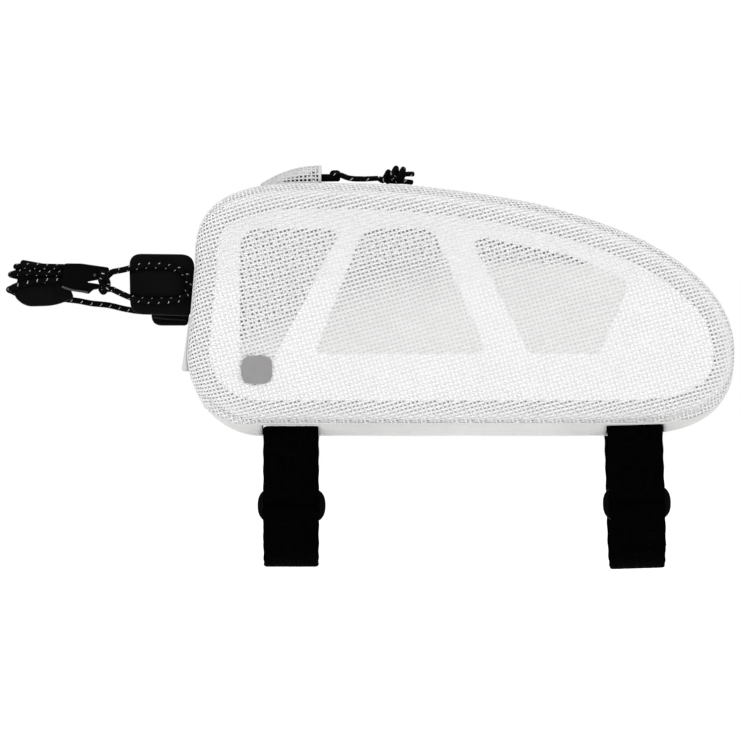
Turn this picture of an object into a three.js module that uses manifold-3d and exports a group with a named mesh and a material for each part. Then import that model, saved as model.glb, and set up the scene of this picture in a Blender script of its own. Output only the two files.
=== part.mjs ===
// A bicycle top tube bag: two domed mesh side panels, each stiffened by a windowed foam frame, on a
// sewn gusset with a zip along the top. Two hook-and-loop straps with plastic rings hang from the base,
// and two rubber tabs at the front carry an elastic cord with a hook for the steerer.
// Millimetres. +X runs to the tail, +Z is up and -Y is the near side. The origin is the middle of the
// base's flat underside, where the bag sits on the tube.
import * as THREE from "three";
import { mergeVertices } from "three/addons/utils/BufferGeometryUtils.js";
import Module from "manifold-3d";

const wasm = await Module();
wasm.setup();

// Clearances and walls
const GAP = 0.3;
const PANEL_WALL = 1.2;
const GUSSET_WALL = 1.6;
const FOAM_WALL = 2.4;
const POCKET_WALL = 1;

// Side seam: four rounded corners joined by straight runs, in order from the base round the tail.
// Each corner is a quarter of a superellipse about its centre x, z that reaches endX across and endZ up.
const HALF_SEAM = 21;
const SEAM_BASE = 6.8;
const SEAM_TOP = 112.5;
const TAIL_NOSE = { x: 126.4, z: 38 };
const FRONT_HIGH = { x: -117.5, z: 78 };
const FRONT_LOW = { x: -121, z: 38 };
const BASE_FRONT = -88;
const BASE_TAIL = 68;
const ZIP_FRONT = -60;
const CORNERS = [
  { x: BASE_TAIL, z: TAIL_NOSE.z, endX: TAIL_NOSE.x, endZ: SEAM_BASE, power: 2.7 },
  { x: ZIP_FRONT, z: TAIL_NOSE.z, endX: TAIL_NOSE.x, endZ: SEAM_TOP, power: 2.1 },
  { x: ZIP_FRONT, z: FRONT_HIGH.z, endX: FRONT_HIGH.x, endZ: SEAM_TOP, power: 3 },
  { x: BASE_FRONT, z: FRONT_LOW.z, endX: FRONT_LOW.x, endZ: SEAM_BASE, power: 2 },
];
const CORNER_SAMPLES = 60;
const MAX_STEP = 30;
const MAX_TURN = 0.22;

// Gusset: how far it stands out of the seam's plane curve at its middle, and its flat middle share
const BASE_CROWN = SEAM_BASE;
const TOP_CROWN = 3;
const SIDE_CROWN = 0.4;
const FLAT_SHARE = 0.45;
const HALF_ROWS = [1, 0.88, 0.7, FLAT_SHARE];
const BASE_FRONT_SHARE = 0.72;
const BASE_TAIL_SHARE = 0.86;

// Side panel: the rounded edge, the gentle dome inside it and the insets of its rings
const EDGE_INSET = 9;
const EDGE_RISE = 5.6;
const DOME_RISE = 1.4;
const DOME_REACH = 40;
const RING_INSETS = [0, 0.8, 3.2, EDGE_INSET, 22];
const FOAM_INSETS = [10, 22];
const SPINE = [
  { x: -82, z: 58 },
  { x: 72, z: 44 },
];

// Foam windows: corners with a rounding radius each
const WINDOWS = [
  [
    { x: -97.3, z: 93.6, r: 10 },
    { x: -52.2, z: 93.6, r: 4 },
    { x: -88.4, z: 23.6, r: 3 },
    { x: -97.3, z: 23.6, r: 3 },
  ],
  [
    { x: -63.2, z: 37.7, r: 2.5 },
    { x: -41.5, z: 93.6, r: 9 },
    { x: -10.5, z: 93.6, r: 9 },
    { x: 14.1, z: 37.7, r: 2.5 },
  ],
  [
    { x: 34, z: 37.7, r: 3 },
    { x: 6.8, z: 91, r: 4 },
    { x: 54, z: 81, r: 30 },
    { x: 79, z: 70, r: 7 },
    { x: 65, z: 37.7, r: 5 },
  ],
];
const POCKET = [
  { x: -101, z: 20, r: 6 },
  { x: -101, z: 42, r: 8 },
  { x: -70, z: 58, r: 8 },
  { x: -48, z: 75, r: 8 },
  { x: -30, z: 80, r: 10 },
  { x: 74, z: 77.5, r: 10 },
  { x: 96, z: 50, r: 12 },
  { x: 88, z: 14, r: 6 },
];

// Label patch on the near panel
const LABEL = { x: -90, z: 30.1, width: 13.9, height: 12.7, radius: 4.6, wall: 0.8 };

// Zip: its tail end as a share of the tail's top corner, its half widths and heights
const ZIP_TAIL_SHARE = 0.31;
const ZIP_HALF = 3.6;
const TAPE_DROP = 0.5;
const COIL_HALF = 2;
const COIL_RISE = 0.6;

// Zip slider, its pull cord and knot
const SLIDER = { x: -57.4, length: 14.4, width: 8, plate: 1.6 };
const BAIL = { x: -55.2, length: 6.6, height: 4, width: 2.4 };
const EYE = { x: -54.6, z: 119.6, radius: 1.6 };
const PULL_RADIUS = 1.2;
const PULL_STEPS = 26;
const PULL_ROUTE = [
  { x: -34.9, y: -1.5, z: 117.8 },
  { x: -42, y: -1.7, z: 117.4 },
  { x: -48, y: -2.7, z: 117.7 },
  { x: -52.4, y: -4.2, z: 119.2 },
  { x: EYE.x, y: -2.4, z: EYE.z },
  { x: EYE.x, y: 2.4, z: EYE.z },
  { x: -52.4, y: 4.2, z: 119.6 },
  { x: -48, y: 2.7, z: 118.1 },
  { x: -42, y: 1.5, z: 117.7 },
  { x: -34.9, y: 1.4, z: 117.9 },
];
const PULL_KNOT = [
  { x: -32.2, y: -0.4, z: 118.7, r: 2.5 },
  { x: -28.4, y: -1.2, z: 121.3, r: 2.5 },
  { x: -25.8, y: 0.6, z: 119.8, r: 2.5 },
  { x: -28.8, y: 1, z: 117.8, r: 2.2 },
];
const PULL_ENDS = [
  { x: -18.4, y: -1.8, z: 120.8 },
  { x: -18.8, y: 1.4, z: 117.4 },
];

// Zip garage: an arched hood of mesh whose mouth stands over the slider
const GARAGE = { front: -88, mouth: -60.6, half: 11, heel: 1.6, height: 8.2, wall: 1.2, steps: 6, rows: 8 };

// Straps: one row each, with the tilt that the base's curve gives the rear one
const STRAP_WIDTH = 25;
const STRAP_WALL = 1.6;
const STRAP_RUN = 3.4;
const STRAP_TURN = 2.6;
const STRAPS = [
  { name: "front", x: -74.7, lift: 0, tilt: 0, bottom: -59.4, ringX: 0.4 },
  { name: "rear", x: 82, lift: 1, tilt: 1.7, bottom: -61.2, ringX: -0.2 },
];
const LEG_Y = 19.4;
const LEG_BOTTOM = -46;
const STRAP_END = -51.4;
const STRAP_END_LEAN = 2;
const SEWN_END = -13;
const SLOT = { width: 26.4, low: -2, high: 4.6, inner: 12, outer: 20 };

// Strap rings: a rounded plate with one long opening
const RING = { width: 31, height: 16, wall: 2.4, bar: 4, end: 2.4, radius: 7.6, top: -23.6, y: -19.2 };

// Front tabs and the padded flap under them
const TAB_WALL = 3;
const TAB_Y = 9;
const TAB_NEAR = [
  { x: -148.6, z: 82.8, r: 5.5 },
  { x: -148, z: 55.5, r: 6 },
  { x: -120.4, z: 54.6, r: 2.5 },
  { x: -118.3, z: 82.4, r: 4 },
];
const TAB_FAR = [
  { x: -139.2, z: 77.5, r: 5 },
  { x: -139.2, z: 50.4, r: 5 },
  { x: -122.5, z: 50.4, r: 2 },
  { x: -118.5, z: 77, r: 4 },
];
const FLAP_HALF = 15;
const FLAP = [
  { x: -121.1, z: 54.2, r: 0.3 },
  { x: -124.4, z: 30.6, r: 0.8 },
  { x: -121.2, z: 29.4, r: 0.4 },
  { x: -121.9, z: 38, r: 2 },
  { x: -120.5, z: 54.2, r: 0.3 },
];

// Elastic cord: the near run is laced over the near tab and tied to the hook, and the far run comes off
// the far tab, which it also crosses in a U, and is wound round the hook's pad
const CORD_RADIUS = 1.4;
const CORD_Y = TAB_Y + TAB_WALL + GAP + CORD_RADIUS;
const NEAR_STEPS = 34;
const NEAR_ROUTE = [
  { x: -156.2, y: -11.2, z: 74.8 },
  { x: -150.6, y: -CORD_Y, z: 75.8 },
  { x: -146, y: -CORD_Y, z: 77 },
  { x: -139, y: -CORD_Y, z: 77.7 },
  { x: -131, y: -CORD_Y, z: 77.2 },
  { x: -125, y: -CORD_Y, z: 75.4 },
  { x: -121.9, y: -CORD_Y, z: 72.2 },
  { x: -121.2, y: -CORD_Y, z: 68.5 },
  { x: -122.2, y: -CORD_Y, z: 64.8 },
  { x: -125.4, y: -CORD_Y, z: 62.4 },
  { x: -132, y: -CORD_Y, z: 61.6 },
  { x: -140, y: -CORD_Y, z: 61.6 },
  { x: -146, y: -CORD_Y, z: 62.4 },
  { x: -150.6, y: -CORD_Y, z: 64.2 },
  { x: -156.2, y: -11.2, z: 66.8 },
];
const CORD_KNOT = [
  { x: -159.6, y: -10.7, z: 73, r: 2.7 },
  { x: -160.4, y: -10.8, z: 69.8, r: 2.8 },
  { x: -159.4, y: -10.6, z: 66.8, r: 2.6 },
];
const PAD_WALL = 3;
const PAD_MIDDLE = -189;
const PAD = [
  { x: -195.6, z: 80.4, r: 5 },
  { x: -179.4, z: 77.2, r: 3 },
  { x: -174.2, z: 62.9, r: 1.5 },
  { x: -183, z: 59.4, r: 10 },
  { x: -199.4, z: 59.2, r: 4.5 },
  { x: -200.8, z: 64.5, r: 3 },
  { x: -200.2, z: 71.5, r: 5 },
];
const TURN_RADIUS = PAD_WALL / 2 + GAP + CORD_RADIUS;
const FAR_LEAD = [
  { x: -136.4, y: CORD_Y, z: 72.4 },
  { x: -129, y: CORD_Y, z: 72.8 },
  { x: -124.4, y: CORD_Y, z: 70.2 },
  { x: -123.4, y: CORD_Y, z: 65.8 },
  { x: -126, y: CORD_Y, z: 61.6 },
  { x: -131.6, y: CORD_Y, z: 58.8 },
  { x: -138, y: CORD_Y, z: 57.4 },
  { x: -144, y: 12.6, z: 57 },
  { x: -151, y: 10.4, z: 58 },
  { x: -159, y: 7.6, z: 59.8 },
  { x: -166.5, y: 5, z: 60.6 },
  { x: -172.4, y: 3.5, z: 61.7 },
  { x: -178.1, y: TURN_RADIUS, z: 62.4 },
  { x: PAD_MIDDLE, y: TURN_RADIUS, z: 64 },
];
// Half turns of the far cord round the pad's ends, -1 at its front end and 1 at its hook end: where the
// turn's middle is, its heights going in and out, and the height half way along the run that follows
const TURNS = [
  { side: -1, x: -200.9, from: 65.2, to: 68.4, run: 71 },
  { side: 1, x: -176.9, from: 71, to: 71.2, run: 72.7 },
  { side: -1, x: -200, from: 72.8, to: 74.6, run: 74.3 },
  { side: 1, x: -177.9, from: 74.1, to: 74.3, run: 75.8 },
  { side: -1, x: -197.6, from: 77.2, to: 77.5, run: 77.4 },
];
const TURN_ANGLES = [90, 60, 0, -60, -90];
const FAR_END = { x: -174.5, y: -TURN_RADIUS, z: 77 };
const FAR_STEPS = 104;
const HOOK = [
  { x: -178.8, z: 78.8, r: 2 },
  { x: -179.6, z: 67.6, r: 0.8 },
  { x: -173.4, z: 66, r: 5 },
  { x: -167.2, z: 64.7, r: 0.8 },
  { x: -165.2, z: 66.6, r: 1 },
  { x: -162.8, z: 67, r: 0.5 },
  { x: -162.4, z: 69.3, r: 0.4 },
  { x: -168.4, z: 70.2, r: 0.2 },
  { x: -162.4, z: 71.3, r: 1 },
  { x: -157.6, z: 73.8, r: 1 },
  { x: -158, z: 76.9, r: 1 },
  { x: -170.5, z: 78.7, r: 8 },
];
const HOOK_WALL = 2.6;
const HOOK_Y = -5;
const SECTION_SIDES = 8;

// Materials
const WHITE_MESH = new THREE.MeshStandardMaterial({ color: 0xf1f0f0, roughness: 0.55 });
const WHITE_CLOTH = new THREE.MeshStandardMaterial({ color: 0xe6e5e2, roughness: 0.6 });
const WHITE_FOAM = new THREE.MeshStandardMaterial({ color: 0xf6f5f5, roughness: 0.85 });
const GREY_LABEL = new THREE.MeshStandardMaterial({ color: 0x9d9b9c, roughness: 0.6 });
const BLACK_WEBBING = new THREE.MeshStandardMaterial({ color: 0x0b0b0b, roughness: 0.9 });
const BLACK_PLASTIC = new THREE.MeshStandardMaterial({ color: 0x101010, roughness: 0.45 });
const BLACK_RUBBER = new THREE.MeshStandardMaterial({ color: 0x151515, roughness: 0.55 });
const BLACK_CORD = new THREE.MeshStandardMaterial({ color: 0x121212, roughness: 0.85 });

const bag = new THREE.Group();
bag.name = "top_tube_bag";

function addPiece(name, geometry, material, parent = bag) {
  const mesh = new THREE.Mesh(geometry, material);
  mesh.name = name;
  parent.add(mesh);
  return mesh;
}

// Solids for cutting and joining

function solidOf(geometry) {
  const bare = geometry.clone();
  bare.deleteAttribute("normal");
  bare.deleteAttribute("uv");
  const merged = mergeVertices(bare, 1e-4);
  return new wasm.Manifold(
    new wasm.Mesh({
      numProp: 3,
      vertProperties: new Float32Array(merged.attributes.position.array),
      triVerts: new Uint32Array(merged.index.array),
    }),
  );
}

function geometryOf(solid) {
  const mesh = solid.getMesh();
  const geometry = new THREE.BufferGeometry();
  geometry.setAttribute("position", new THREE.BufferAttribute(new Float32Array(mesh.vertProperties), 3));
  geometry.setIndex(new THREE.BufferAttribute(new Uint32Array(mesh.triVerts), 1));
  geometry.computeVertexNormals();
  return geometry;
}

function geometryFrom(points, triangles) {
  const geometry = new THREE.BufferGeometry().setFromPoints(points);
  geometry.setIndex(triangles);
  geometry.computeVertexNormals();
  return geometry;
}

// A closed solid through closed rings of equal count, capped by a fan to a point at each end.
function ringSolid(rings, firstApex, lastApex) {
  const count = rings[0].length;
  const points = [...rings.flat(), firstApex, lastApex];
  const first = points.length - 2;
  const last = points.length - 1;
  const lastRing = (rings.length - 1) * count;
  const triangles = [];
  for (let j = 0; j < count; j++) {
    const k = (j + 1) % count;
    triangles.push(first, j, k);
    triangles.push(last, lastRing + k, lastRing + j);
    for (let i = 0; i < rings.length - 1; i++) {
      const a = i * count;
      const b = a + count;
      triangles.push(a + j, b + k, a + k, a + j, b + j, b + k);
    }
  }
  return geometryFrom(points, triangles);
}

// A closed sheet between an outer and an inner grid of points, both indexed [along][across].
function sheetSolid(outer, inner) {
  const along = outer.length;
  const across = outer[0].length;
  const points = [...outer.flat(), ...inner.flat()];
  const under = along * across;
  const triangles = [];
  const quad = (a, b, c, d) => triangles.push(a, c, b, a, d, c);
  const at = (i, j) => i * across + j;
  for (let i = 0; i < along - 1; i++) {
    for (let j = 0; j < across - 1; j++) {
      quad(at(i, j), at(i + 1, j), at(i + 1, j + 1), at(i, j + 1));
      quad(under + at(i, j), under + at(i, j + 1), under + at(i + 1, j + 1), under + at(i + 1, j));
    }
    quad(at(i, 0), under + at(i, 0), under + at(i + 1, 0), at(i + 1, 0));
    const j = across - 1;
    quad(at(i, j), at(i + 1, j), under + at(i + 1, j), under + at(i, j));
  }
  for (let j = 0; j < across - 1; j++) {
    quad(at(0, j), at(0, j + 1), under + at(0, j + 1), under + at(0, j));
    const i = along - 1;
    quad(at(i, j), under + at(i, j), under + at(i, j + 1), at(i, j + 1));
  }
  return geometryFrom(points, triangles);
}

// Flat shapes and their extrusions

// A closed shape through corners given as {x, z, r}, each rounded by its radius.
function roundedShape(corners) {
  const shape = new THREE.Shape();
  corners.forEach((corner, i) => {
    const here = new THREE.Vector2(corner.x, corner.z);
    const before = corners[(i + corners.length - 1) % corners.length];
    const after = corners[(i + 1) % corners.length];
    const back = new THREE.Vector2(before.x, before.z).sub(here);
    const on = new THREE.Vector2(after.x, after.z).sub(here);
    const half = Math.abs(Math.acos(back.clone().normalize().dot(on.clone().normalize()))) / 2;
    const cut = Math.min(corner.r / Math.tan(half), back.length() / 2.1, on.length() / 2.1);
    const start = here.clone().addScaledVector(back.normalize(), cut);
    const end = here.clone().addScaledVector(on.normalize(), cut);
    if (i === 0) {
      shape.moveTo(start.x, start.y);
    } else {
      shape.lineTo(start.x, start.y);
    }
    shape.quadraticCurveTo(here.x, here.y, end.x, end.y);
  });
  shape.closePath();
  return shape;
}

// A shape drawn in X and Z, extruded from y towards -Y by the wall.
function plate(shape, y, wall, curveSegments = 4) {
  const geometry = new THREE.ExtrudeGeometry(shape, { depth: wall, bevelEnabled: false, curveSegments });
  geometry.rotateX(Math.PI / 2);
  geometry.translate(0, y, 0);
  return geometry;
}

// The outline of a band of even thickness along an open path of Vector2 points.
function bandShape(path, wall) {
  const left = [];
  const right = [];
  path.forEach((point, i) => {
    const before = path[Math.max(i - 1, 0)];
    const after = path[Math.min(i + 1, path.length - 1)];
    const along = after.clone().sub(before).normalize();
    const out = new THREE.Vector2(-along.y, along.x).multiplyScalar(wall / 2);
    left.push(point.clone().add(out));
    right.push(point.clone().sub(out));
  });
  return new THREE.Shape([...left, ...right.reverse()]);
}

function tube(route, radius, steps) {
  const points = route.map((p) => new THREE.Vector3(p.x, p.y, p.z));
  const section = new THREE.Shape();
  for (let k = 0; k < SECTION_SIDES; k++) {
    const angle = (2 * Math.PI * k) / SECTION_SIDES;
    const corner = [radius * Math.cos(angle), radius * Math.sin(angle)];
    if (k === 0) {
      section.moveTo(...corner);
    } else {
      section.lineTo(...corner);
    }
  }
  section.closePath();
  const extrudePath = new THREE.CatmullRomCurve3(points, false, "centripetal");
  return new THREE.ExtrudeGeometry(section, { extrudePath, steps, bevelEnabled: false });
}

function ball(p) {
  const geometry = new THREE.IcosahedronGeometry(p.r, 1);
  geometry.translate(p.x, p.y, p.z);
  return solidOf(geometry);
}

// Side seam

function cornerPoints(corner, startsAtZ) {
  const points = [];
  for (let k = 0; k <= CORNER_SAMPLES; k++) {
    const share = k / CORNER_SAMPLES;
    const angle = ((startsAtZ ? 1 - share : share) * Math.PI) / 2;
    const across = Math.max(Math.cos(angle), 0) ** (2 / corner.power);
    const up = Math.max(Math.sin(angle), 0) ** (2 / corner.power);
    const { lerp } = THREE.MathUtils;
    points.push(new THREE.Vector2(lerp(corner.x, corner.endX, across), lerp(corner.z, corner.endZ, up)));
  }
  return points;
}

// The seam as dense points with arc lengths, normals and a running cost of length and turn.
function makeSeam() {
  const points = [];
  const ends = [];
  CORNERS.forEach((corner, i) => {
    points.push(...cornerPoints(corner, i % 2 === 0));
    ends.push(points.length - 1);
  });
  const distinct = points.filter((p, i) => i === 0 || p.distanceTo(points[i - 1]) > 1e-6);
  const count = distinct.length;
  const lengths = [0];
  const costs = [0];
  const normals = distinct.map((p, i) => {
    const along = distinct[(i + 1) % count].clone().sub(distinct[(i + count - 1) % count]).normalize();
    return new THREE.Vector2(along.y, -along.x);
  });
  for (let i = 0; i < count; i++) {
    const j = (i + 1) % count;
    const step = distinct[j].distanceTo(distinct[i]);
    const turn = Math.abs(Math.asin(THREE.MathUtils.clamp(normals[i].cross(normals[j]), -1, 1)));
    lengths.push(lengths[i] + step);
    costs.push(costs[i] + step / MAX_STEP + turn / MAX_TURN);
  }
  const cornerEnds = ends.map((i) => lengths[distinct.indexOf(points[i])]);
  const length = lengths[count];
  const cost = costs[count];
  return { points: distinct, normals, lengths, costs, cornerEnds, length, cost };
}

const seam = makeSeam();

function lookUp(table, value) {
  let i = table.findIndex((entry) => entry > value) - 1;
  i = i < 0 ? table.length - 2 : i;
  return { i, share: (value - table[i]) / (table[i + 1] - table[i]) };
}

// The seam's point and outward normal at an arc length, which may run past either end.
function seamAt(length) {
  const { i, share } = lookUp(seam.lengths, THREE.MathUtils.euclideanModulo(length, seam.length));
  const j = (i + 1) % seam.points.length;
  return {
    point: seam.points[i].clone().lerp(seam.points[j], share),
    normal: seam.normals[i].clone().lerp(seam.normals[j], share).normalize(),
  };
}

// Arc lengths from one to another, closer together where the seam turns.
function stations(from, to) {
  const costAt = (length) => {
    const turns = Math.floor(length / seam.length);
    const { i, share } = lookUp(seam.lengths, length - turns * seam.length);
    return turns * seam.cost + THREE.MathUtils.lerp(seam.costs[i], seam.costs[i + 1], share);
  };
  const lengthAt = (cost) => {
    const turns = Math.floor(cost / seam.cost);
    const { i, share } = lookUp(seam.costs, cost - turns * seam.cost);
    return turns * seam.length + THREE.MathUtils.lerp(seam.lengths[i], seam.lengths[i + 1], share);
  };
  const first = costAt(from);
  const last = costAt(to);
  const count = Math.max(2, Math.ceil(last - first));
  const costs = Array.from({ length: count - 1 }, (_, k) => first + ((k + 1) / count) * (last - first));
  return [from, ...costs.map(lengthAt), to];
}

// Side panels and foam frames

function edgeProfile(inset) {
  const edge = Math.min(inset / EDGE_INSET, 1);
  const dome = 1 - (1 - Math.min(inset / DOME_REACH, 1)) ** 2;
  return new THREE.Vector2(inset, EDGE_RISE * Math.sqrt(1 - (1 - edge) ** 2) + DOME_RISE * dome);
}

// The profile's point under a wall, square to the profile.
function underProfile(inset, wall) {
  if (inset === 0) {
    return new THREE.Vector2(wall, 0);
  }
  const reach = 0.05;
  const along = edgeProfile(inset + reach).sub(edgeProfile(inset - reach)).normalize();
  return edgeProfile(inset).add(new THREE.Vector2(along.y, -along.x).multiplyScalar(wall));
}

function towardsSpine(point, inset) {
  const start = new THREE.Vector2(SPINE[0].x, SPINE[0].z);
  const run = new THREE.Vector2(SPINE[1].x, SPINE[1].z).sub(start);
  const share = THREE.MathUtils.clamp(point.clone().sub(start).dot(run) / run.lengthSq(), 0, 1);
  const target = start.addScaledVector(run, share);
  return point.clone().lerp(target, inset / point.distanceTo(target));
}

const ringStations = stations(0, seam.length).slice(0, -1);
const nearY = (rise) => -(HALF_SEAM + GAP / 2 + rise);

// One ring of the near side at an inset from the seam and a rise from the seam's plane.
function nearRing(profile) {
  return ringStations.map((length) => {
    const inner = towardsSpine(seamAt(length).point, profile.x);
    return new THREE.Vector3(inner.x, nearY(profile.y), inner.y);
  });
}

function nearApex(rise) {
  const middle = { x: (SPINE[0].x + SPINE[1].x) / 2, z: (SPINE[0].z + SPINE[1].z) / 2 };
  return new THREE.Vector3(middle.x, nearY(rise), middle.z);
}

function panelGeometry() {
  const outer = RING_INSETS.map((inset) => nearRing(edgeProfile(inset)));
  const inner = RING_INSETS.map((inset) => nearRing(underProfile(inset, PANEL_WALL)));
  const peak = EDGE_RISE + DOME_RISE;
  return ringSolid([...outer.reverse(), ...inner], nearApex(peak), nearApex(peak - PANEL_WALL));
}

function foamGeometry() {
  const drop = PANEL_WALL + GAP;
  const ringAt = (inset, depth) => nearRing(new THREE.Vector2(inset, edgeProfile(inset).y - depth));
  const outer = FOAM_INSETS.map((inset) => ringAt(inset, drop));
  const inner = FOAM_INSETS.map((inset) => ringAt(inset, drop + FOAM_WALL));
  const peak = EDGE_RISE + DOME_RISE - drop;
  const slab = ringSolid([...outer.reverse(), ...inner], nearApex(peak), nearApex(peak - FOAM_WALL));
  const windows = WINDOWS.map((corners) => solidOf(plate(roundedShape(corners), 0, 2 * HALF_SEAM)));
  const cut = windows.reduce((left, window) => left.subtract(window), solidOf(slab));
  return geometryOf(cut);
}

function addSides() {
  const panel = panelGeometry();
  const foam = foamGeometry();
  for (const [side, mirror] of [
    ["near", 1],
    ["far", -1],
  ]) {
    addPiece(`side_panel_${side}`, panel, WHITE_MESH).scale.y = mirror;
    addPiece(`foam_frame_${side}`, foam, WHITE_FOAM).scale.y = mirror;
  }
  const clear = nearY(edgeProfile(FOAM_INSETS[0]).y - PANEL_WALL - FOAM_WALL - 3 * GAP);
  addPiece("inner_pocket", plate(roundedShape(POCKET), clear + POCKET_WALL, POCKET_WALL), WHITE_CLOTH);
  const halfWidth = LABEL.width / 2;
  const halfHeight = LABEL.height / 2;
  const label = [
    { x: LABEL.x - halfWidth, z: LABEL.z - halfHeight, r: LABEL.radius },
    { x: LABEL.x + halfWidth, z: LABEL.z - halfHeight, r: LABEL.radius },
    { x: LABEL.x + halfWidth, z: LABEL.z + halfHeight, r: LABEL.radius },
    { x: LABEL.x - halfWidth, z: LABEL.z + halfHeight, r: LABEL.radius },
  ];
  const face = nearY(edgeProfile(LABEL.z - SEAM_BASE + halfHeight).y + GAP);
  addPiece("label_patch", plate(roundedShape(label), face, LABEL.wall), GREY_LABEL);
}

// Gusset

function crownAt(normal) {
  const most = normal.y < 0 ? BASE_CROWN : TOP_CROWN;
  return SIDE_CROWN + (most - SIDE_CROWN) * normal.y ** 2;
}

function acrossShape(y) {
  const past = Math.max(Math.abs(y) / HALF_SEAM - FLAT_SHARE, 0) / (1 - FLAT_SHARE);
  return 1 - past ** 2;
}

// A point of the gusset at an arc length and a place across it, lifted along the seam's normal.
function gussetPoint(length, y, lift) {
  const { point, normal } = seamAt(length);
  const out = crownAt(normal) * acrossShape(y) + lift;
  return new THREE.Vector3(point.x + normal.x * out, y, point.y + normal.y * out);
}

// A strip of the gusset between two arc lengths, across rows of {y, lift}.
function gussetStrip(from, to, rows, wall = GUSSET_WALL) {
  const lengths = stations(from + GAP / 2, to - GAP / 2);
  const rowAt = (length, drop) => rows.map((row) => gussetPoint(length, row.y, row.lift - drop));
  const grid = (drop) => lengths.map((length) => rowAt(length, drop));
  return sheetSolid(grid(0), grid(wall));
}

const [tailBaseEnd, tailTopEnd, frontTopEnd, frontBaseEnd] = seam.cornerEnds;
const baseFrom = frontTopEnd + (frontBaseEnd - frontTopEnd) * BASE_FRONT_SHARE - seam.length;
const baseTo = tailBaseEnd * BASE_TAIL_SHARE;
const zipFrom = tailBaseEnd + (tailTopEnd - tailBaseEnd) * ZIP_TAIL_SHARE;
const HALF_GUSSET = HALF_SEAM - GAP / 2;
const nearRows = HALF_ROWS.map((share) => ({ y: -share * HALF_GUSSET, lift: 0 }));
const mirrored = (rows) => rows.map((row) => ({ y: -row.y, lift: row.lift })).reverse();
const fullRows = [...nearRows, ...mirrored(nearRows)];

function strapSlots(strap) {
  const slot = new THREE.BoxGeometry(SLOT.width, SLOT.outer - SLOT.inner, SLOT.high - SLOT.low);
  slot.translate(0, (SLOT.outer + SLOT.inner) / 2, (SLOT.high + SLOT.low) / 2);
  slot.rotateY(-THREE.MathUtils.degToRad(strap.tilt));
  slot.translate(strap.x, 0, strap.lift);
  const far = solidOf(slot);
  const near = solidOf(slot.translate(0, -SLOT.outer - SLOT.inner, 0));
  return far.add(near);
}

function addGusset() {
  const base = STRAPS.reduce(
    (left, strap) => left.subtract(strapSlots(strap)),
    solidOf(gussetStrip(baseFrom, baseTo, fullRows)),
  );
  addPiece("base", geometryOf(base), WHITE_CLOTH);
  addPiece("tail_gusset", gussetStrip(baseTo, zipFrom, fullRows), WHITE_CLOTH);
  addPiece("front_gusset", gussetStrip(tailTopEnd, baseFrom + seam.length, fullRows), WHITE_CLOTH);
  const stripRows = [...nearRows, { y: -ZIP_HALF, lift: 0 }];
  addPiece("zip_strip_near", gussetStrip(zipFrom, tailTopEnd, stripRows), WHITE_CLOTH);
  addPiece("zip_strip_far", gussetStrip(zipFrom, tailTopEnd, mirrored(stripRows)), WHITE_CLOTH);
  const halfChain = [
    { y: GAP - ZIP_HALF, lift: -TAPE_DROP },
    { y: -COIL_HALF - GAP, lift: -TAPE_DROP },
    { y: -COIL_HALF, lift: COIL_RISE },
  ];
  const chainRows = [...halfChain, ...mirrored(halfChain)];
  addPiece("zip_chain", gussetStrip(zipFrom, tailTopEnd, chainRows), WHITE_CLOTH);
}

// Zip slider, pull cord and garage

function addZipPull() {
  const floor = SEAM_TOP + TOP_CROWN + COIL_RISE + GAP;
  const body = new THREE.Shape();
  body.absellipse(SLIDER.x, 0, SLIDER.length / 2, SLIDER.width / 2, 0, 2 * Math.PI);
  const top = new THREE.ExtrudeGeometry(body, { depth: SLIDER.plate, bevelEnabled: false, curveSegments: 8 });
  top.translate(0, 0, floor);
  const arch = new THREE.Shape();
  const start = BAIL.x - BAIL.length / 2;
  const end = BAIL.x + BAIL.length / 2;
  const low = floor + SLIDER.plate / 2;
  const high = floor + SLIDER.plate + BAIL.height;
  arch.moveTo(start, low);
  arch.lineTo(end, low);
  arch.bezierCurveTo(end, high, end, high, BAIL.x, high);
  arch.bezierCurveTo(start, high, start, high, start, low);
  const eye = new THREE.Path();
  eye.absarc(EYE.x, EYE.z, EYE.radius, 0, 2 * Math.PI, true);
  arch.holes.push(eye);
  const bail = plate(arch, BAIL.width / 2, BAIL.width, 6);
  addPiece("zip_slider", geometryOf(solidOf(top).add(solidOf(bail))), BLACK_PLASTIC);
  addPiece("pull_cord", tube(PULL_ROUTE, PULL_RADIUS, PULL_STEPS), BLACK_CORD);
  const lumps = PULL_KNOT.map(ball);
  const tails = PULL_ENDS.map((tip) => solidOf(tube([PULL_KNOT[2], tip], PULL_RADIUS, 2)));
  const knot = [...lumps, ...tails].reduce((left, right) => left.add(right));
  addPiece("pull_knot", geometryOf(knot), BLACK_CORD);
}

function garageGeometry() {
  const { front, mouth, half, heel, height, wall, steps, rows } = GARAGE;
  const { power } = CORNERS[2];
  const topAt = (x) => {
    const share = (ZIP_FRONT - x) / (ZIP_FRONT - FRONT_HIGH.x);
    return THREE.MathUtils.lerp(FRONT_HIGH.z, SEAM_TOP, (1 - share ** power) ** (1 / power));
  };
  const grid = (drop) =>
    Array.from({ length: steps + 1 }, (_, i) => {
      const share = i / steps;
      const x = front + share * (mouth - front);
      const rise = heel + (height - heel) * (1 - (1 - share) ** 2);
      return Array.from({ length: rows + 1 }, (__, j) => {
        const angle = (j / rows) * Math.PI;
        const y = -(half - drop) * Math.cos(angle);
        const foot = topAt(x) + TOP_CROWN + GAP;
        return new THREE.Vector3(x, y, foot + (rise - drop) * Math.sin(angle));
      });
    }).reverse();
  return sheetSolid(grid(0), grid(wall));
}

// Straps and their rings

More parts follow.
